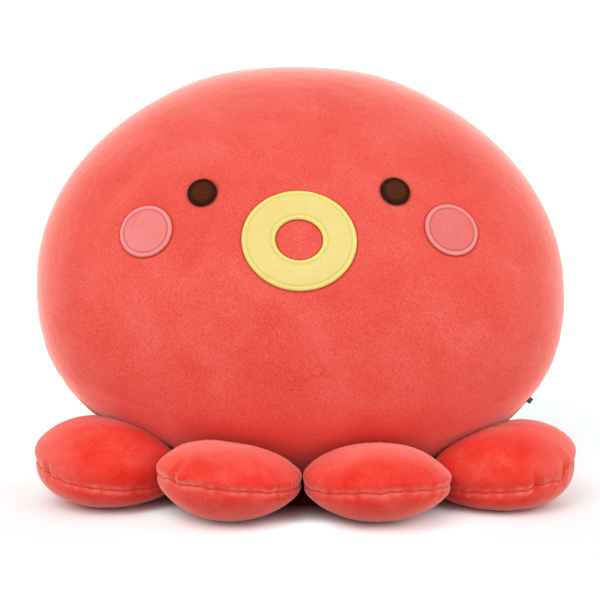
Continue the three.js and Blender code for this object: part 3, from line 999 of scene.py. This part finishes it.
# %% Feet: sizes and folds
front_foot = dict(half_width=42.6, root=46.6, turn=12.5, crown=47, seam=25.5,
                  toe_rise=4, root_rise=0, side_drop=0, seam_limit=0.5)
front_side_foot = dict(half_width=42.6, root=46.6, turn=45, crown=50, seam=24.5,
                       toe_rise=2.2, root_rise=0, side_drop=7.4, seam_limit=0.5)
rear_side_foot = dict(half_width=39.6, root=46.6, turn=112, crown=49, seam=24.5,
                      toe_rise=-2.5, root_rise=0, side_drop=0, seam_limit=0.6)
rear_foot = dict(half_width=39.6, root=56, turn=167.5, crown=49, seam=24.5,
                 toe_rise=2, root_rise=22, side_drop=0, seam_limit=1.0)
foot_toe_length = 46.6
foot_styles = {
    "front_left": (front_foot, -1, dict(
        swell=1.1, aside=-1.5, seam_lift=1.0, seam_roll=-3.4, end_drop=-0.9, crown_lift=-1.8,
        crown_skew=-0.10, sole=1.6), 21, [(124, 2.6, 2.0, 8, 1.1, 0.9)]),
    "front_right": (front_foot, 1, dict(
        swell=2.0, aside=-0.2, seam_lift=-1.3, seam_roll=0, end_drop=-2.6, crown_lift=-0.4,
        crown_skew=0, sole=1.65), 22, [(82, 0.7, 4.0, 6, 0.6, 0.3)]),
    "front_side_left": (front_side_foot, -1, dict(
        swell=0.6, aside=0, seam_lift=-2.9, seam_roll=0, end_drop=1.5, crown_lift=6.2,
        crown_skew=0.2, sole=2.6), 23, [(96, 2.6, 2.0, 7, 0.9, 0.6)]),
    "front_side_right": (front_side_foot, 1, dict(
        swell=1.4, aside=0.8, seam_lift=-3.9, seam_roll=-1.5, end_drop=2.5, crown_lift=2.8,
        crown_skew=0.2, sole=4.2), 24, [
            (67, 2.6, 2.0, 11, 1.2, 0.8), (99, 3.2, 2.2, 12, 1.4, 3.2)]),
    "rear_side_left": (rear_side_foot, -1, dict(
        swell=-0.8, aside=0, seam_lift=0, seam_roll=0.5, end_drop=0, crown_lift=-5,
        crown_skew=0, sole=2.2), 25, [(60, 1.8, 2.2, 8, 0.6, 0.4)]),
    "rear_side_right": (rear_side_foot, 1, dict(
        swell=-0.8, aside=-1.8, seam_lift=0, seam_roll=-0.5, end_drop=0, crown_lift=-6,
        crown_skew=0, sole=2.3), 26, [(118, 1.8, 2.2, 8, 0.6, -0.4)]),
    "rear_left": (rear_foot, -1, dict(
        swell=-1.6, aside=0, seam_lift=0, seam_roll=0.7, end_drop=0, crown_lift=0,
        crown_skew=0.04, sole=2.1), 27, [(120, 1.9, 2.2, 9, 0.7, 0.4)]),
    "rear_right": (rear_foot, 1, dict(
        swell=-1.6, aside=0, seam_lift=0, seam_roll=-0.4, end_drop=0, crown_lift=0,
        crown_skew=-0.04, sole=2.2), 28, [(64, 1.9, 2.2, 9, 0.7, 0.4)]),
}
print(len(foot_styles), "feet")

# %% [markdown]
# A foot is shaped on an outline that is nearly an ellipse. The seam follows the foot's
# rise and droop, the top swells up from it until it meets the body, the sole goes down to
# a flat on the floor, and beside the seam the cloth hangs out over the tucked stitches.

# %% Foot form
foot_outline_exponent, foot_bulge_exponent = 2.15, 2.2
seam_tuck = 0.9 * mm
top_lip, bottom_lip = 2.0 * mm, 1.0 * mm
foot_to_body_gap = 0.75 * mm
sole_flat_depth = 0.5 * mm
root_thickness = 3.8 * mm
roof_softness = 3 * mm
lip_height, lip_spread = 0.28, 0.2
root_ends, root_fade = -0.75, 0.4


def lower_of(first, second, softness=roof_softness):
    """The lower of two heights, rounded off where they cross."""
    share = np.clip(0.5 + 0.5 * (second - first) / softness, 0, 1)
    return second + (first - second) * share - softness * share * (1 - share)


def lip_reach(share, along, lip):
    """How far the cloth hangs out over its tucked seam, in metres, none at the root."""
    height = np.sqrt(np.clip(1 - share ** foot_bulge_exponent, 0, None))
    hang = lip * np.exp(-((height - lip_height) / lip_spread) ** 2)
    free = np.clip((along - root_ends) / root_fade, 0, 1)
    return (hang - seam_tuck * (1 - height) ** 3) * free * share ** 2


def foot_surface(name, face, inset=0.0):
    """One side of a foot in the row frame: face is 1 for the top and -1 for the sole."""
    foot, side, stuffed, _, _ = foot_styles[name]
    sole = sole_places[f"{name}_sole"]
    heading = side * math.radians(foot["turn"])
    half_width = (foot["half_width"] + stuffed["swell"]) * mm - inset
    crown, seam_height = (foot["crown"] + stuffed["crown_lift"]) * mm, foot["seam"] * mm

    def surface(share, angle):
        reach = share * outline_share(angle, foot_outline_exponent)
        across, along = reach * np.cos(angle), reach * np.sin(angle)
        length = np.where(along > 0, foot_toe_length, foot["root"]) * mm - inset
        hang = lip_reach(share, along, top_lip if face > 0 else bottom_lip)
        x = -side * (half_width * across + hang * np.cos(angle))
        y = -length * along - hang * np.sin(angle)
        row_x = sole[0] + x * math.cos(heading) - y * math.sin(heading) + stuffed["aside"] * mm
        row_y = sole[1] + x * math.sin(heading) + y * math.cos(heading)
        roof = np.minimum(body_underside(row_x, row_y), 1.0) - foot_to_body_gap
        end_rise = np.where(along > 0, foot["toe_rise"] * along, foot["root_rise"] * along ** 2)
        side_rise = (stuffed["seam_lift"] + stuffed["seam_roll"] * across
                     + stuffed["end_drop"] * across ** 2)
        free_seam = seam_height + (end_rise + side_rise - foot["side_drop"] * across) * mm
        seam = np.minimum(free_seam, (roof - root_thickness) * foot["seam_limit"])
        bulge = np.sqrt(np.clip(1 - share ** foot_bulge_exponent, 0, None))
        fullness = 1 + stuffed["crown_skew"] * across
        if face > 0:
            top = seam + panel_gap + (crown - seam_height - inset) * fullness * bulge
            z = lower_of(top, roof - 1.5 * inset)
        else:
            bulge = np.sqrt(np.clip(1 - share ** stuffed["sole"], 0, None))
            under = seam - panel_gap - (seam + sole_flat_depth - inset) * bulge
            z = np.maximum(under, inset + 0.0 * under)
        return np.stack([row_x, row_y, z], -1)

    return surface


print("foot form ready")

# %% [markdown]
# Folds and rolled seams go on after the inflation. A fold pinches the cloth along a short
# line up from the seam and a shorter one below it, and the cloth swells on one side.

# %% Feet: panels
foot_segments = 240
foot_shares = ring_shares(38, 0.87, 11)
foot_pucker_cycles = (13, 19, 27, 38, 51)
seam_wave_cycles = (9, 16, 23, 31)
foot_inset = 2.4 * mm
foot_cap = 2.4 * mm
foot_voxel = 4 * mm
inner_foot_shares, inner_foot_segments = ring_shares(14), 64
seam_wave_height, seam_wave_reach = 0.45 * mm, 3 * mm
foot_nap_height = 0.12 * mm
lowest_cloth = 0.05 * mm
fold_slant, fold_share_below, jog_reach = 0.12, 0.4, 11
ridge_place, ridge_width = 2.0, 1.4


def foot_halves(name, shares, segments, inset=0.0):
    """The top and the sole of a foot as grids."""
    return [form_grid(foot_surface(name, face, inset), shares, segments) for face in (1, -1)]


def fold(grid, face, angle_deg, depth, width, reach, swell, step):
    """Pinches the cloth along a line away from the seam, with a swelling beside it."""
    push = seam_push(grid)
    away = seam_distance(grid)
    angle = np.degrees(round_angles(grid.shape[1]))
    apart = np.radians((angle - angle_deg + 180) % 360 - 180)
    radius = np.linalg.norm(grid[-1] - grid[-1].mean(0), axis=-1)
    beside = (apart * radius)[None, :] / mm + fold_slant * away / mm
    run = reach if face > 0 else fold_share_below * reach
    fade = np.exp(-(away / (run * mm)) ** 2)
    crease = -depth * np.exp(-(beside / width) ** 2)
    off_ridge = (beside - ridge_place * width) / (ridge_width * width)
    ridge = swell * np.exp(-off_ridge ** 2)
    jog = step * np.tanh(beside / width) * np.exp(-(beside / jog_reach) ** 2) * fade
    moved = grid + push * ((crease + ridge) * fade)[..., None] * mm
    moved[..., 2] += jog * mm
    return moved


foot_panels = {}
foot_forms = {}
for name, (_, _, _, seed, folds) in foot_styles.items():
    inner_foot = lump(*foot_halves(name, inner_foot_shares, inner_foot_segments, foot_inset))
    cloth = blow_up(f"{name}_cloth", inner_foot, foot_voxel, foot_cap)
    halves = foot_halves(name, foot_shares, foot_segments)
    wave = seam_wave_height * wander(round_angles(foot_segments), seam_wave_cycles, seed + 40)
    for word, face, grid in zip(("top", "bottom"), (1, -1), halves):
        grid = follow_cloth(grid, cloth, reach=6 * mm, seam_hold=8 * mm)
        foot_forms[name, word] = grid
        for crease in folds:
            grid = fold(grid, face, *crease)
        grid = roll_seam(
            grid, depth=0.3 * mm, width=0.7 * mm, valley=0.3 * mm, pucker=0.35 * mm,
            pucker_reach=5 * mm, cycles=foot_pucker_cycles, seed=seed,
        )
        grid[..., 2] += wave[None, :] * np.exp(-seam_distance(grid) / seam_wave_reach)
        grid = raise_nap(grid, foot_nap_height)
        grid[..., 2] = np.maximum(grid[..., 2], lowest_cloth)
        shades = seam_shades(grid, dark_width=0.55 * mm, fuzz_width=1.5 * mm,
                             cycles=(5, 11, 17, 29, 43), seed=seed, outer_light=outer_painted_light)
        foot_panels[name, word] = cloth_panel(f"{name}_{word}", grid, coral_foot_pile, shades)
    print(name, "panels", len(foot_panels[name, "top"].data.polygons), "faces each")

# %% [markdown]
# Where two cushions press together the pile is shut away from the light, and painted
# shade deepens its red. Each point gets a share of this painted shade by its distance to
# the nearest other cushion.

# %% Painted contact shade
contact_shade_reach = 7 * mm
contact_shade_limit = 30 * mm
contact_shade_strength = 0.9


def cushion_tree(grids, step=3):
    """A search tree over a coarse copy of other cushions' panels."""
    points, faces = [], []
    for grid in grids:
        coarse = grid[::step, ::step]
        rings, around = coarse.shape[:2]
        start = len(points)
        points.extend(map(Vector, coarse.reshape(-1, 3).tolist()))
        for ring in range(rings - 1):
            for turn in range(around):
                here, beside = ring * around + turn, ring * around + (turn + 1) % around
                faces.append((start + here, start + beside,
                              start + beside + around, start + here + around))
    return BVHTree.FromPolygons(points, faces)


def paint_contact_shade(piece, tree):
    """Writes how much painted shade each point of a panel gets from nearby cushions."""
    gaps = [tree.find_nearest(vertex.co, contact_shade_limit)[3] for vertex in piece.data.vertices]
    write_shade(piece, "painted_contact_shade", np.array([
        0.0 if gap is None else contact_shade_strength * math.exp(-gap / contact_shade_reach) for gap in gaps
    ]))


# Painted shade where cushions press together.
every_foot = cushion_tree(foot_forms.values())
for panel in body_panels.values():
    paint_contact_shade(panel, every_foot)
for name in foot_styles:
    others = [grid for (owner, _), grid in foot_forms.items() if owner != name]
    neighbours = cushion_tree([*body_forms.values(), *others])
    for word in ("top", "bottom"):
        paint_contact_shade(foot_panels[name, word], neighbours)
print("tucked pile on", len(body_panels) + len(foot_panels), "panels")

# %% [markdown]
# The filling is loose fibre that takes the shape of its cover. It is the same form a
# little further in, with few faces, because it is only seen through an open seam.

# %% Fillings
filling_inset = 7 * mm
filling_shares = ring_shares(16)
body_filling_segments, foot_filling_segments = 64, 40
filling_pieces = {}
for owner in ("body", *foot_styles):
    if owner == "body":
        halves = body_halves(filling_shares, body_filling_segments, filling_inset)
    else:
        halves = foot_halves(owner, filling_shares, foot_filling_segments, filling_inset)
    filling_pieces[owner] = new_piece(f"{owner}_stuffing", *lump(*halves), white_filling)
print(len(filling_pieces), "fillings")

# %% [markdown]
# The eyes, cheeks and mouth are cut patches of the same pile in other colours, laid on
# the cloth and held by stitching round their edge. They swell a little in the middle and
# are pressed flat under the border.

# %% Face patches
patch_rest = 0.1 * mm
patch_height = 1.1 * mm
patch_swell = 0.7 * mm
groove_width = 0.7 * mm
groove_place = 1.25 * mm
patch_nap_height, patch_nap_spacing = 0.1 * mm, 2.2 * mm
under_border_share = 0.5


def patch_profile(share):
    """Height of a patch over the cloth for a share of the way from middle to edge."""
    return patch_height * (1 - share ** 10) ** 0.5 + patch_swell * (1 - share ** 2)


def sewn_edge(piece, away):
    """Parts the pile along a patch's edge, by each point's distance to the border."""
    write_shade(piece, "parted_pile", np.exp(-(away / groove_width) ** 2))


def disc_patch(name, lay, radius, material, ring_count, segments):
    """A round patch as a closed piece."""
    shares = np.sin(np.arange(1, ring_count + 1) / ring_count * (math.pi / 2))
    share, turn = np.meshgrid(shares, round_angles(segments), indexing="ij")
    top, _ = lay(radius * share, turn, patch_rest + patch_profile(share))
    top = raise_nap(top, patch_nap_height, patch_nap_spacing)
    under, _ = lay(radius * share, turn, patch_rest)
    piece = new_piece(name, *lump(top, under), material)
    sewn_edge(piece, radius * (1 - share) - groove_place)
    return piece


def ring_patch(name, lay, inner, outer, material, ring_count, segments):
    """A ring shaped patch as a closed piece."""
    shares = np.linspace(0, 1, ring_count)
    share, turn = np.meshgrid(shares, round_angles(segments), indexing="ij")
    middle = np.abs(2 * share - 1)
    radius = inner + (outer - inner) * share
    top, _ = lay(radius, turn, patch_rest + patch_profile(middle))
    under, _ = lay(radius, turn, patch_rest)
    piece = new_piece(name, *skin(np.concatenate([top, under[::-1]])), material)
    sewn_edge(piece, (outer - inner) * (1 - middle) / 2 - groove_place)
    return piece


face_patches = {}
for side, cheek_pile in (("left", pink_pile), ("right", right_pink_pile)):
    face_patches[f"{side}_eye"] = disc_patch(
        f"{side}_eye_cloth", face_lays[f"{side}_eye"],
        eye_radius - under_border_share * eye_border, brown_pile, 16, 72)
    face_patches[f"{side}_cheek"] = disc_patch(
        f"{side}_cheek_cloth", face_lays[f"{side}_cheek"],
        cheek_radius - under_border_share * cheek_border, cheek_pile, 34, 120)
face_patches["mouth"] = ring_patch(
    "mouth_ring_cloth", face_lays["mouth"], mouth_hole + under_border_share * mouth_border,
    mouth_radius - under_border_share * mouth_border, yellow_pile, 44, 240)
print("patches:", sorted(face_patches))

# %% [markdown]
# A satin border is hundreds of short threads, each stitched over the patch's edge. This
# is a job for Geometry Nodes: a guide line runs round the border and carries the cloth's
# normal, points are set along it one thread apart, and an arched thread is instanced on
# each. The tree has named inputs for the sizes and a seed for the slight unevenness.

# %% Geometry Nodes helpers
def line_tree(name, sizes, seeded=False):
    """A tree that sets points along a guide line, as far apart as its first size says.

    Gives the tree, its inputs, the points' outputs and the cloth's normal.
    """
    tree = bpy.data.node_groups.new(name, "GeometryNodeTree")
    kinds = {"Geometry": "Geometry", **{label: "Float" for label in sizes}}
    kinds.update({"Seed": "Int"} if seeded else {}, Material="Material")
    for label, kind in kinds.items():
        tree.interface.new_socket(label, in_out="INPUT", socket_type=f"NodeSocket{kind}")
    tree.interface.new_socket("Geometry", in_out="OUTPUT", socket_type="NodeSocketGeometry")
    given = tree.nodes.new("NodeGroupInput").outputs
    curve = add_node(tree, "GeometryNodeMeshToCurve", {"Mesh": given["Geometry"]})
    points = add_node(tree, "GeometryNodeCurveToPoints", {
        "Curve": curve.outputs[0], "Length": given[sizes[0]],
    }, mode="LENGTH").outputs
    normal = add_node(tree, "GeometryNodeInputNamedAttribute", {"Name": "cloth_normal"},
                      data_type="FLOAT_VECTOR").outputs["Attribute"]
    return tree, given, points, normal


def turned_to(tree, first, second, axes="ZX"):
    """A rotation that lays two axes along two directions."""
    return add_node(tree, "FunctionNodeAxesToRotation", {
        "Primary Axis": first, "Secondary Axis": second,
    }, primary_axis=axes[0], secondary_axis=axes[1]).outputs[0]


def xyz(tree, **values):
    """A vector of single numbers."""
    return add_node(tree, "ShaderNodeCombineXYZ", values).outputs[0]


def random_of(tree, seed, kind, low, high):
    """A random number or vector for each point."""
    first = {"FLOAT": 2, "FLOAT_VECTOR": 0}[kind]
    return add_node(tree, "FunctionNodeRandomValue", {
        first: low, first + 1: high, "Seed": seed,
    }, data_type=kind).outputs[first // 2]


def finish_tree(tree, given, points, instance, rotation, scale=(1, 1, 1)):
    """Sets a piece of thread on each point, as real, smooth faces with a material."""
    threads = add_node(tree, "GeometryNodeInstanceOnPoints", {
        "Points": points, "Instance": instance, "Rotation": rotation, "Scale": scale,
    })
    real = add_node(tree, "GeometryNodeRealizeInstances", {"Geometry": threads.outputs[0]})
    smooth = add_node(tree, "GeometryNodeSetShadeSmooth", {"Geometry": real.outputs[0]})
    dressed = add_node(tree, "GeometryNodeSetMaterial", {
        "Geometry": smooth.outputs[0], "Material": given["Material"],
    })
    output = tree.nodes.new("NodeGroupOutput")
    tree.links.new(dressed.outputs[0], output.inputs[0])


def guide_ring(name, points, normals):
    """A closed line of points that carries the cloth's normal."""
    count = len(points)
    guide = bare_object(name, points, [], [(i, (i + 1) % count) for i in range(count)])
    attribute = guide.data.attributes.new("cloth_normal", "FLOAT_VECTOR", "POINT")
    attribute.data.foreach_set("vector", normals.ravel())
    return guide


def grown_mesh(guide, tree, values):
    """Runs a tree on a guide and returns the result as a plain mesh."""
    modifier = guide.modifiers.new(tree.name, "NODES")
    modifier.node_group = tree
    sockets = {item.name: item.identifier for item in tree.interface.items_tree
               if item.in_out == "INPUT"}
    for label, value in values.items():
        modifier[sockets[label]] = value
    mesh = evaluated_mesh(guide)
    guide.modifiers.remove(modifier)
    bpy.data.objects.remove(guide)
    return mesh


print("tree helpers ready")

# %% [markdown]
# One thread is half of a round line, stretched to the border's width and height and
# given a thread's thickness. It is laid across the guide line and turned a little.

# %% Satin stitch tree
stray_turn = 0.07
arch_steps, thread_sides = 6, 5

satin, given, points, normal = line_tree(
    "satin_stitch", ["Pitch", "Width", "Height", "Thread"], seeded=True)
uneven = random_of(satin, given["Seed"], "FLOAT", -stray_turn, stray_turn)
uneven_turn = add_node(satin, "FunctionNodeEulerToRotation", {0: xyz(satin, Z=uneven)})
laid_across = add_node(satin, "FunctionNodeRotateRotation", {
    0: turned_to(satin, normal, points["Tangent"]), 1: uneven_turn.outputs[0],
}, rotation_space="LOCAL").outputs[0]
double_height = sum_of(satin, "MULTIPLY", given["Height"], 2.0)
half_round = add_node(satin, "GeometryNodeCurveArc", {
    "Resolution": arch_steps, "Radius": 0.5, "Start Angle": 0.0, "Sweep Angle": math.pi,
}, mode="RADIUS")
arch = add_node(satin, "GeometryNodeTransform", {
    "Geometry": half_round.outputs[0], "Rotation": (math.pi / 2, 0, math.pi / 2),
    "Scale": xyz(satin, X=given["Width"], Y=double_height, Z=1.0),
})
thread_round = add_node(satin, "GeometryNodeCurvePrimitiveCircle", {
    "Resolution": thread_sides, "Radius": sum_of(satin, "MULTIPLY", given["Thread"], 0.5),
}, mode="RADIUS")
thread = add_node(satin, "GeometryNodeCurveToMesh", {
    "Curve": arch.outputs[0], "Profile Curve": thread_round.outputs[0], "Fill Caps": True,
})
finish_tree(satin, given, points[0], thread.outputs[0], laid_across)
print("satin tree", len(satin.nodes), "nodes")

# %% [markdown]
# A border has a padded ridge under its threads, so that no cloth shows between them.
# The mouth ring has two borders, and each eye and cheek has one.

# %% Satin borders
thread_pitch = 0.4 * mm
thread_width = 0.46 * mm
border_height = 1.35 * mm
padding_width, padding_height = 0.44, 0.82


def joined_piece(name, meshes, material):
    """One object of several meshes that share a material."""
    points, faces = [], []
    for mesh in meshes:
        faces += [[v + len(points) for v in face.vertices] for face in mesh.polygons]
        points += mesh_points(mesh).tolist()
    return new_piece(name, points, faces, material)


def satin_border(name, lay, outer, width, material, seed, segments=180):
    """A padded ridge round a patch with threads laid over it."""
    angle = round_angles(segments)
    middle = outer - width / 2
    padding = [lay(middle + padding_width * width * math.cos(turn), angle,
                   patch_rest + padding_height * border_height * math.sin(turn))[0]
               for turn in np.linspace(0, math.pi, 7)]
    pad = bare_object(f"{name}_pad", *skin(padding))
    line, normals = lay(middle, angle, patch_rest)
    threads = grown_mesh(guide_ring(f"{name}_guide", line, normals), satin, {
        "Pitch": thread_pitch, "Width": width, "Height": border_height,
        "Thread": thread_width, "Seed": seed, "Material": material,
    })
    piece = joined_piece(name, [pad.data, threads], material)
    bpy.data.objects.remove(pad)
    return piece


face_borders = {
    "mouth_outer": satin_border("mouth_outer_satin", face_lays["mouth"], mouth_radius,
                                mouth_border, yellow_satin, 31, 240),
    "mouth_inner": satin_border("mouth_inner_satin", face_lays["mouth"],
                                mouth_hole + mouth_border, mouth_border, yellow_satin, 32),
}
for number, side in enumerate(("left", "right")):
    face_borders[f"{side}_eye"] = satin_border(
        f"{side}_eye_satin", face_lays[f"{side}_eye"], eye_radius, eye_border,
        brown_satin, 33 + number, 96)
    face_borders[f"{side}_cheek"] = satin_border(
        f"{side}_cheek_satin", face_lays[f"{side}_cheek"], cheek_radius, cheek_border,
        pink_satin, 35 + number)
print("borders:", {name: len(piece.data.polygons) for name, piece in face_borders.items()})

# %% [markdown]
# The care label is a folded ribbon, caught in the body's seam low on the right, where
# only its end shows.

# %% Care label
label_width = 4 * mm
label_reach = 2.4 * mm
label_thickness = 0.8 * mm
label_seam_angle = math.radians(-36)
label_start = -0.5 * mm


def care_label():
    """A ribbon loop: two layers that meet in a round fold at the end."""
    seam = body_surface(np.array(1.0), np.array(label_seam_angle), 1)
    outward = np.array([
        abs(seam[0] / body_half_width) ** (skirt_exponent - 1) / body_half_width, 0,
        -abs(seam[2] / body_skirt_height) ** (skirt_exponent - 1) / body_skirt_height,
    ])
    outward /= np.linalg.norm(outward)
    beside = np.array([outward[2], 0, -outward[0]])
    layer = label_thickness / 2
    turns = np.linspace(-math.pi / 2, math.pi / 2, 9)

    def loop(thick):
        """The ribbon out to its fold and back, so far each way from its middle."""
        bend = [(label_reach - layer + thick * math.cos(t), thick * math.sin(t)) for t in turns]
        return [(label_start, -thick), *bend, (label_start, thick)]

    rings = []
    for reach, depth in loop(layer) + loop(0.5 * layer)[::-1]:
        middle = np.array([seam[0], 0, seam[2]]) + outward * reach + np.array([0, depth, 0])
        rings.append([middle - beside * label_width / 2, middle + beside * label_width / 2])
    rings = stand_body(np.array(rings))
    count = len(rings)
    points = rings.reshape(-1, 3)
    faces = [(2 * k, 2 * k + 1, 2 * ((k + 1) % count) + 1, 2 * ((k + 1) % count))
             for k in range(count)]
    half = (count - 2) // 2
    for edge in (0, 1):
        for k in range(half):
            a, b = k, k + 1
            c, d = count - 2 - k, count - 1 - k
            quad = (2 * a + edge, 2 * b + edge, 2 * c + edge, 2 * d + edge)
            faces.append(quad if edge == 0 else quad[::-1])
    return new_piece("care_ribbon", points, faces, grey_ribbon)


label = care_label()
print("label", len(label.data.polygons), "faces")

# %% [markdown]
# Along each seam the pile is caught in the stitches and stands out as a thin line of
# fuzz, with the seam's own thread just showing in the groove. Both repeat along a line,
# so both are Geometry Nodes trees on the seam line, one result for each body.

# %% Seam nap and thread trees
fibre_lean = 0.75
shortest_fibre, longest_fibre = 0.5, 1.2
fibre_tip = 0.02 * mm

fuzz, given, points, normal = line_tree(
    "seam_fuzz", ["Spacing", "Length", "Thickness", "Spread"], seeded=True)
stray = random_of(fuzz, given["Seed"], "FLOAT_VECTOR", (-1, -1, -1), (1, 1, 1))
way = vector_of(fuzz, "ADD", normal, vector_of(fuzz, "SCALE", stray, Scale=fibre_lean))
spread_points = add_node(fuzz, "GeometryNodeSetPosition", {
    "Geometry": points[0], "Offset": vector_of(fuzz, "SCALE", stray, Scale=given["Spread"]),
})
fibre = add_node(fuzz, "GeometryNodeMeshCone", {
    "Vertices": 4, "Side Segments": 1, "Fill Segments": 1, "Radius Top": fibre_tip,
    "Radius Bottom": given["Thickness"], "Depth": given["Length"],
})
finish_tree(fuzz, given, spread_points.outputs[0], fibre.outputs[0],
            turned_to(fuzz, way, points["Tangent"]),
            random_of(fuzz, given["Seed"], "FLOAT", shortest_fibre, longest_fibre))

running, given, points, normal = line_tree("running_stitch", ["Pitch", "Length", "Thread"])
stitch = add_node(running, "GeometryNodeMeshUVSphere", {
    "Segments": 6, "Rings": 4, "Radius": 1.0,
})
half_length = sum_of(running, "MULTIPLY", given["Length"], 0.5)
finish_tree(running, given, points[0], stitch.outputs[0],
            turned_to(running, points["Tangent"], normal, "XZ"),
            xyz(running, X=half_length, Y=given["Thread"], Z=given["Thread"]))
print("seam trees", fuzz.name, running.name)

# %% [markdown]
# The body's seam line is the last ring of its front panel, and a foot's is the last
# ring of its top. Both trees grow on it, a little below the cloth.

# %% Seam details
body_thread_depth, foot_thread_depth = 1.4 * mm, 0.95 * mm


def seam_detail(name, grid, depth, seed):
    """Fuzz and thread along the last ring of a grid, as two pieces."""
    normals = grid_normals(grid)[-1]
    line = grid[-1] - normals * depth
    fibres = grown_mesh(guide_ring(f"{name}_fuzz_guide", line, normals), fuzz, {
        "Spacing": 0.28 * mm, "Length": 1.1 * mm, "Thickness": 0.09 * mm, "Spread": 0.6 * mm,
        "Seed": seed, "Material": coral_fuzz,
    })
    stitches = grown_mesh(guide_ring(f"{name}_thread_guide", line, normals), running, {
        "Pitch": 2.6 * mm, "Length": 2.0 * mm, "Thread": 0.15 * mm, "Material": coral_thread,
    })
    return (
        joined_piece(f"{name}_seam_fuzz", [fibres], coral_fuzz),
        joined_piece(f"{name}_seam_thread", [stitches], coral_thread),
    )


seam_details = {"body": seam_detail("body", body_forms["front"], body_thread_depth, 41)}
for number, name in enumerate(foot_styles):
    seam_details[name] = seam_detail(name, foot_forms[name, "top"], foot_thread_depth, 42 + number)

# %% [markdown]
# Now every piece is tied to the body it moves with, and hides the CAD solid it stands for.

# %% Tie pieces to their bodies
def tie(piece, body, slot, *nodes):
    """Ties a piece to its body and hides the solid that it stands for, if any. The slot is not
    used.
    """
    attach(piece, body)
    if nodes:
        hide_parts(*nodes)


for word, piece in body_panels.items():
    tie(piece, "body", "coral_pile", f"body_{word}_panel")
tie(filling_pieces["body"], "body", "white_filling", "body_filling")
tie(label, "body", "grey_ribbon", "care_label")
for side in ("left", "right"):
    tie(face_patches[f"{side}_eye"], "body", "brown_pile", f"{side}_eye_patch")
    tie(face_borders[f"{side}_eye"], "body", "brown_satin", f"{side}_eye_border")
    tie(face_patches[f"{side}_cheek"], "body", "pink_pile", f"{side}_cheek_patch")
    tie(face_borders[f"{side}_cheek"], "body", "pink_satin", f"{side}_cheek_border")
tie(face_patches["mouth"], "body", "yellow_pile", "mouth_ring_patch")
tie(face_borders["mouth_outer"], "body", "yellow_satin", "mouth_outer_border")
tie(face_borders["mouth_inner"], "body", "yellow_satin", "mouth_inner_border")
for name in foot_styles:
    foot_body = f"{name}_foot"
    for word in ("top", "bottom"):
        tie(foot_panels[name, word], foot_body, "coral_pile", f"{foot_body}_{word}_panel")
    tie(filling_pieces[name], foot_body, "white_filling", f"{foot_body}_filling")
for name, details in seam_details.items():
    for piece in details:
        tie(piece, "body" if name == "body" else f"{name}_foot", "coral_pile")
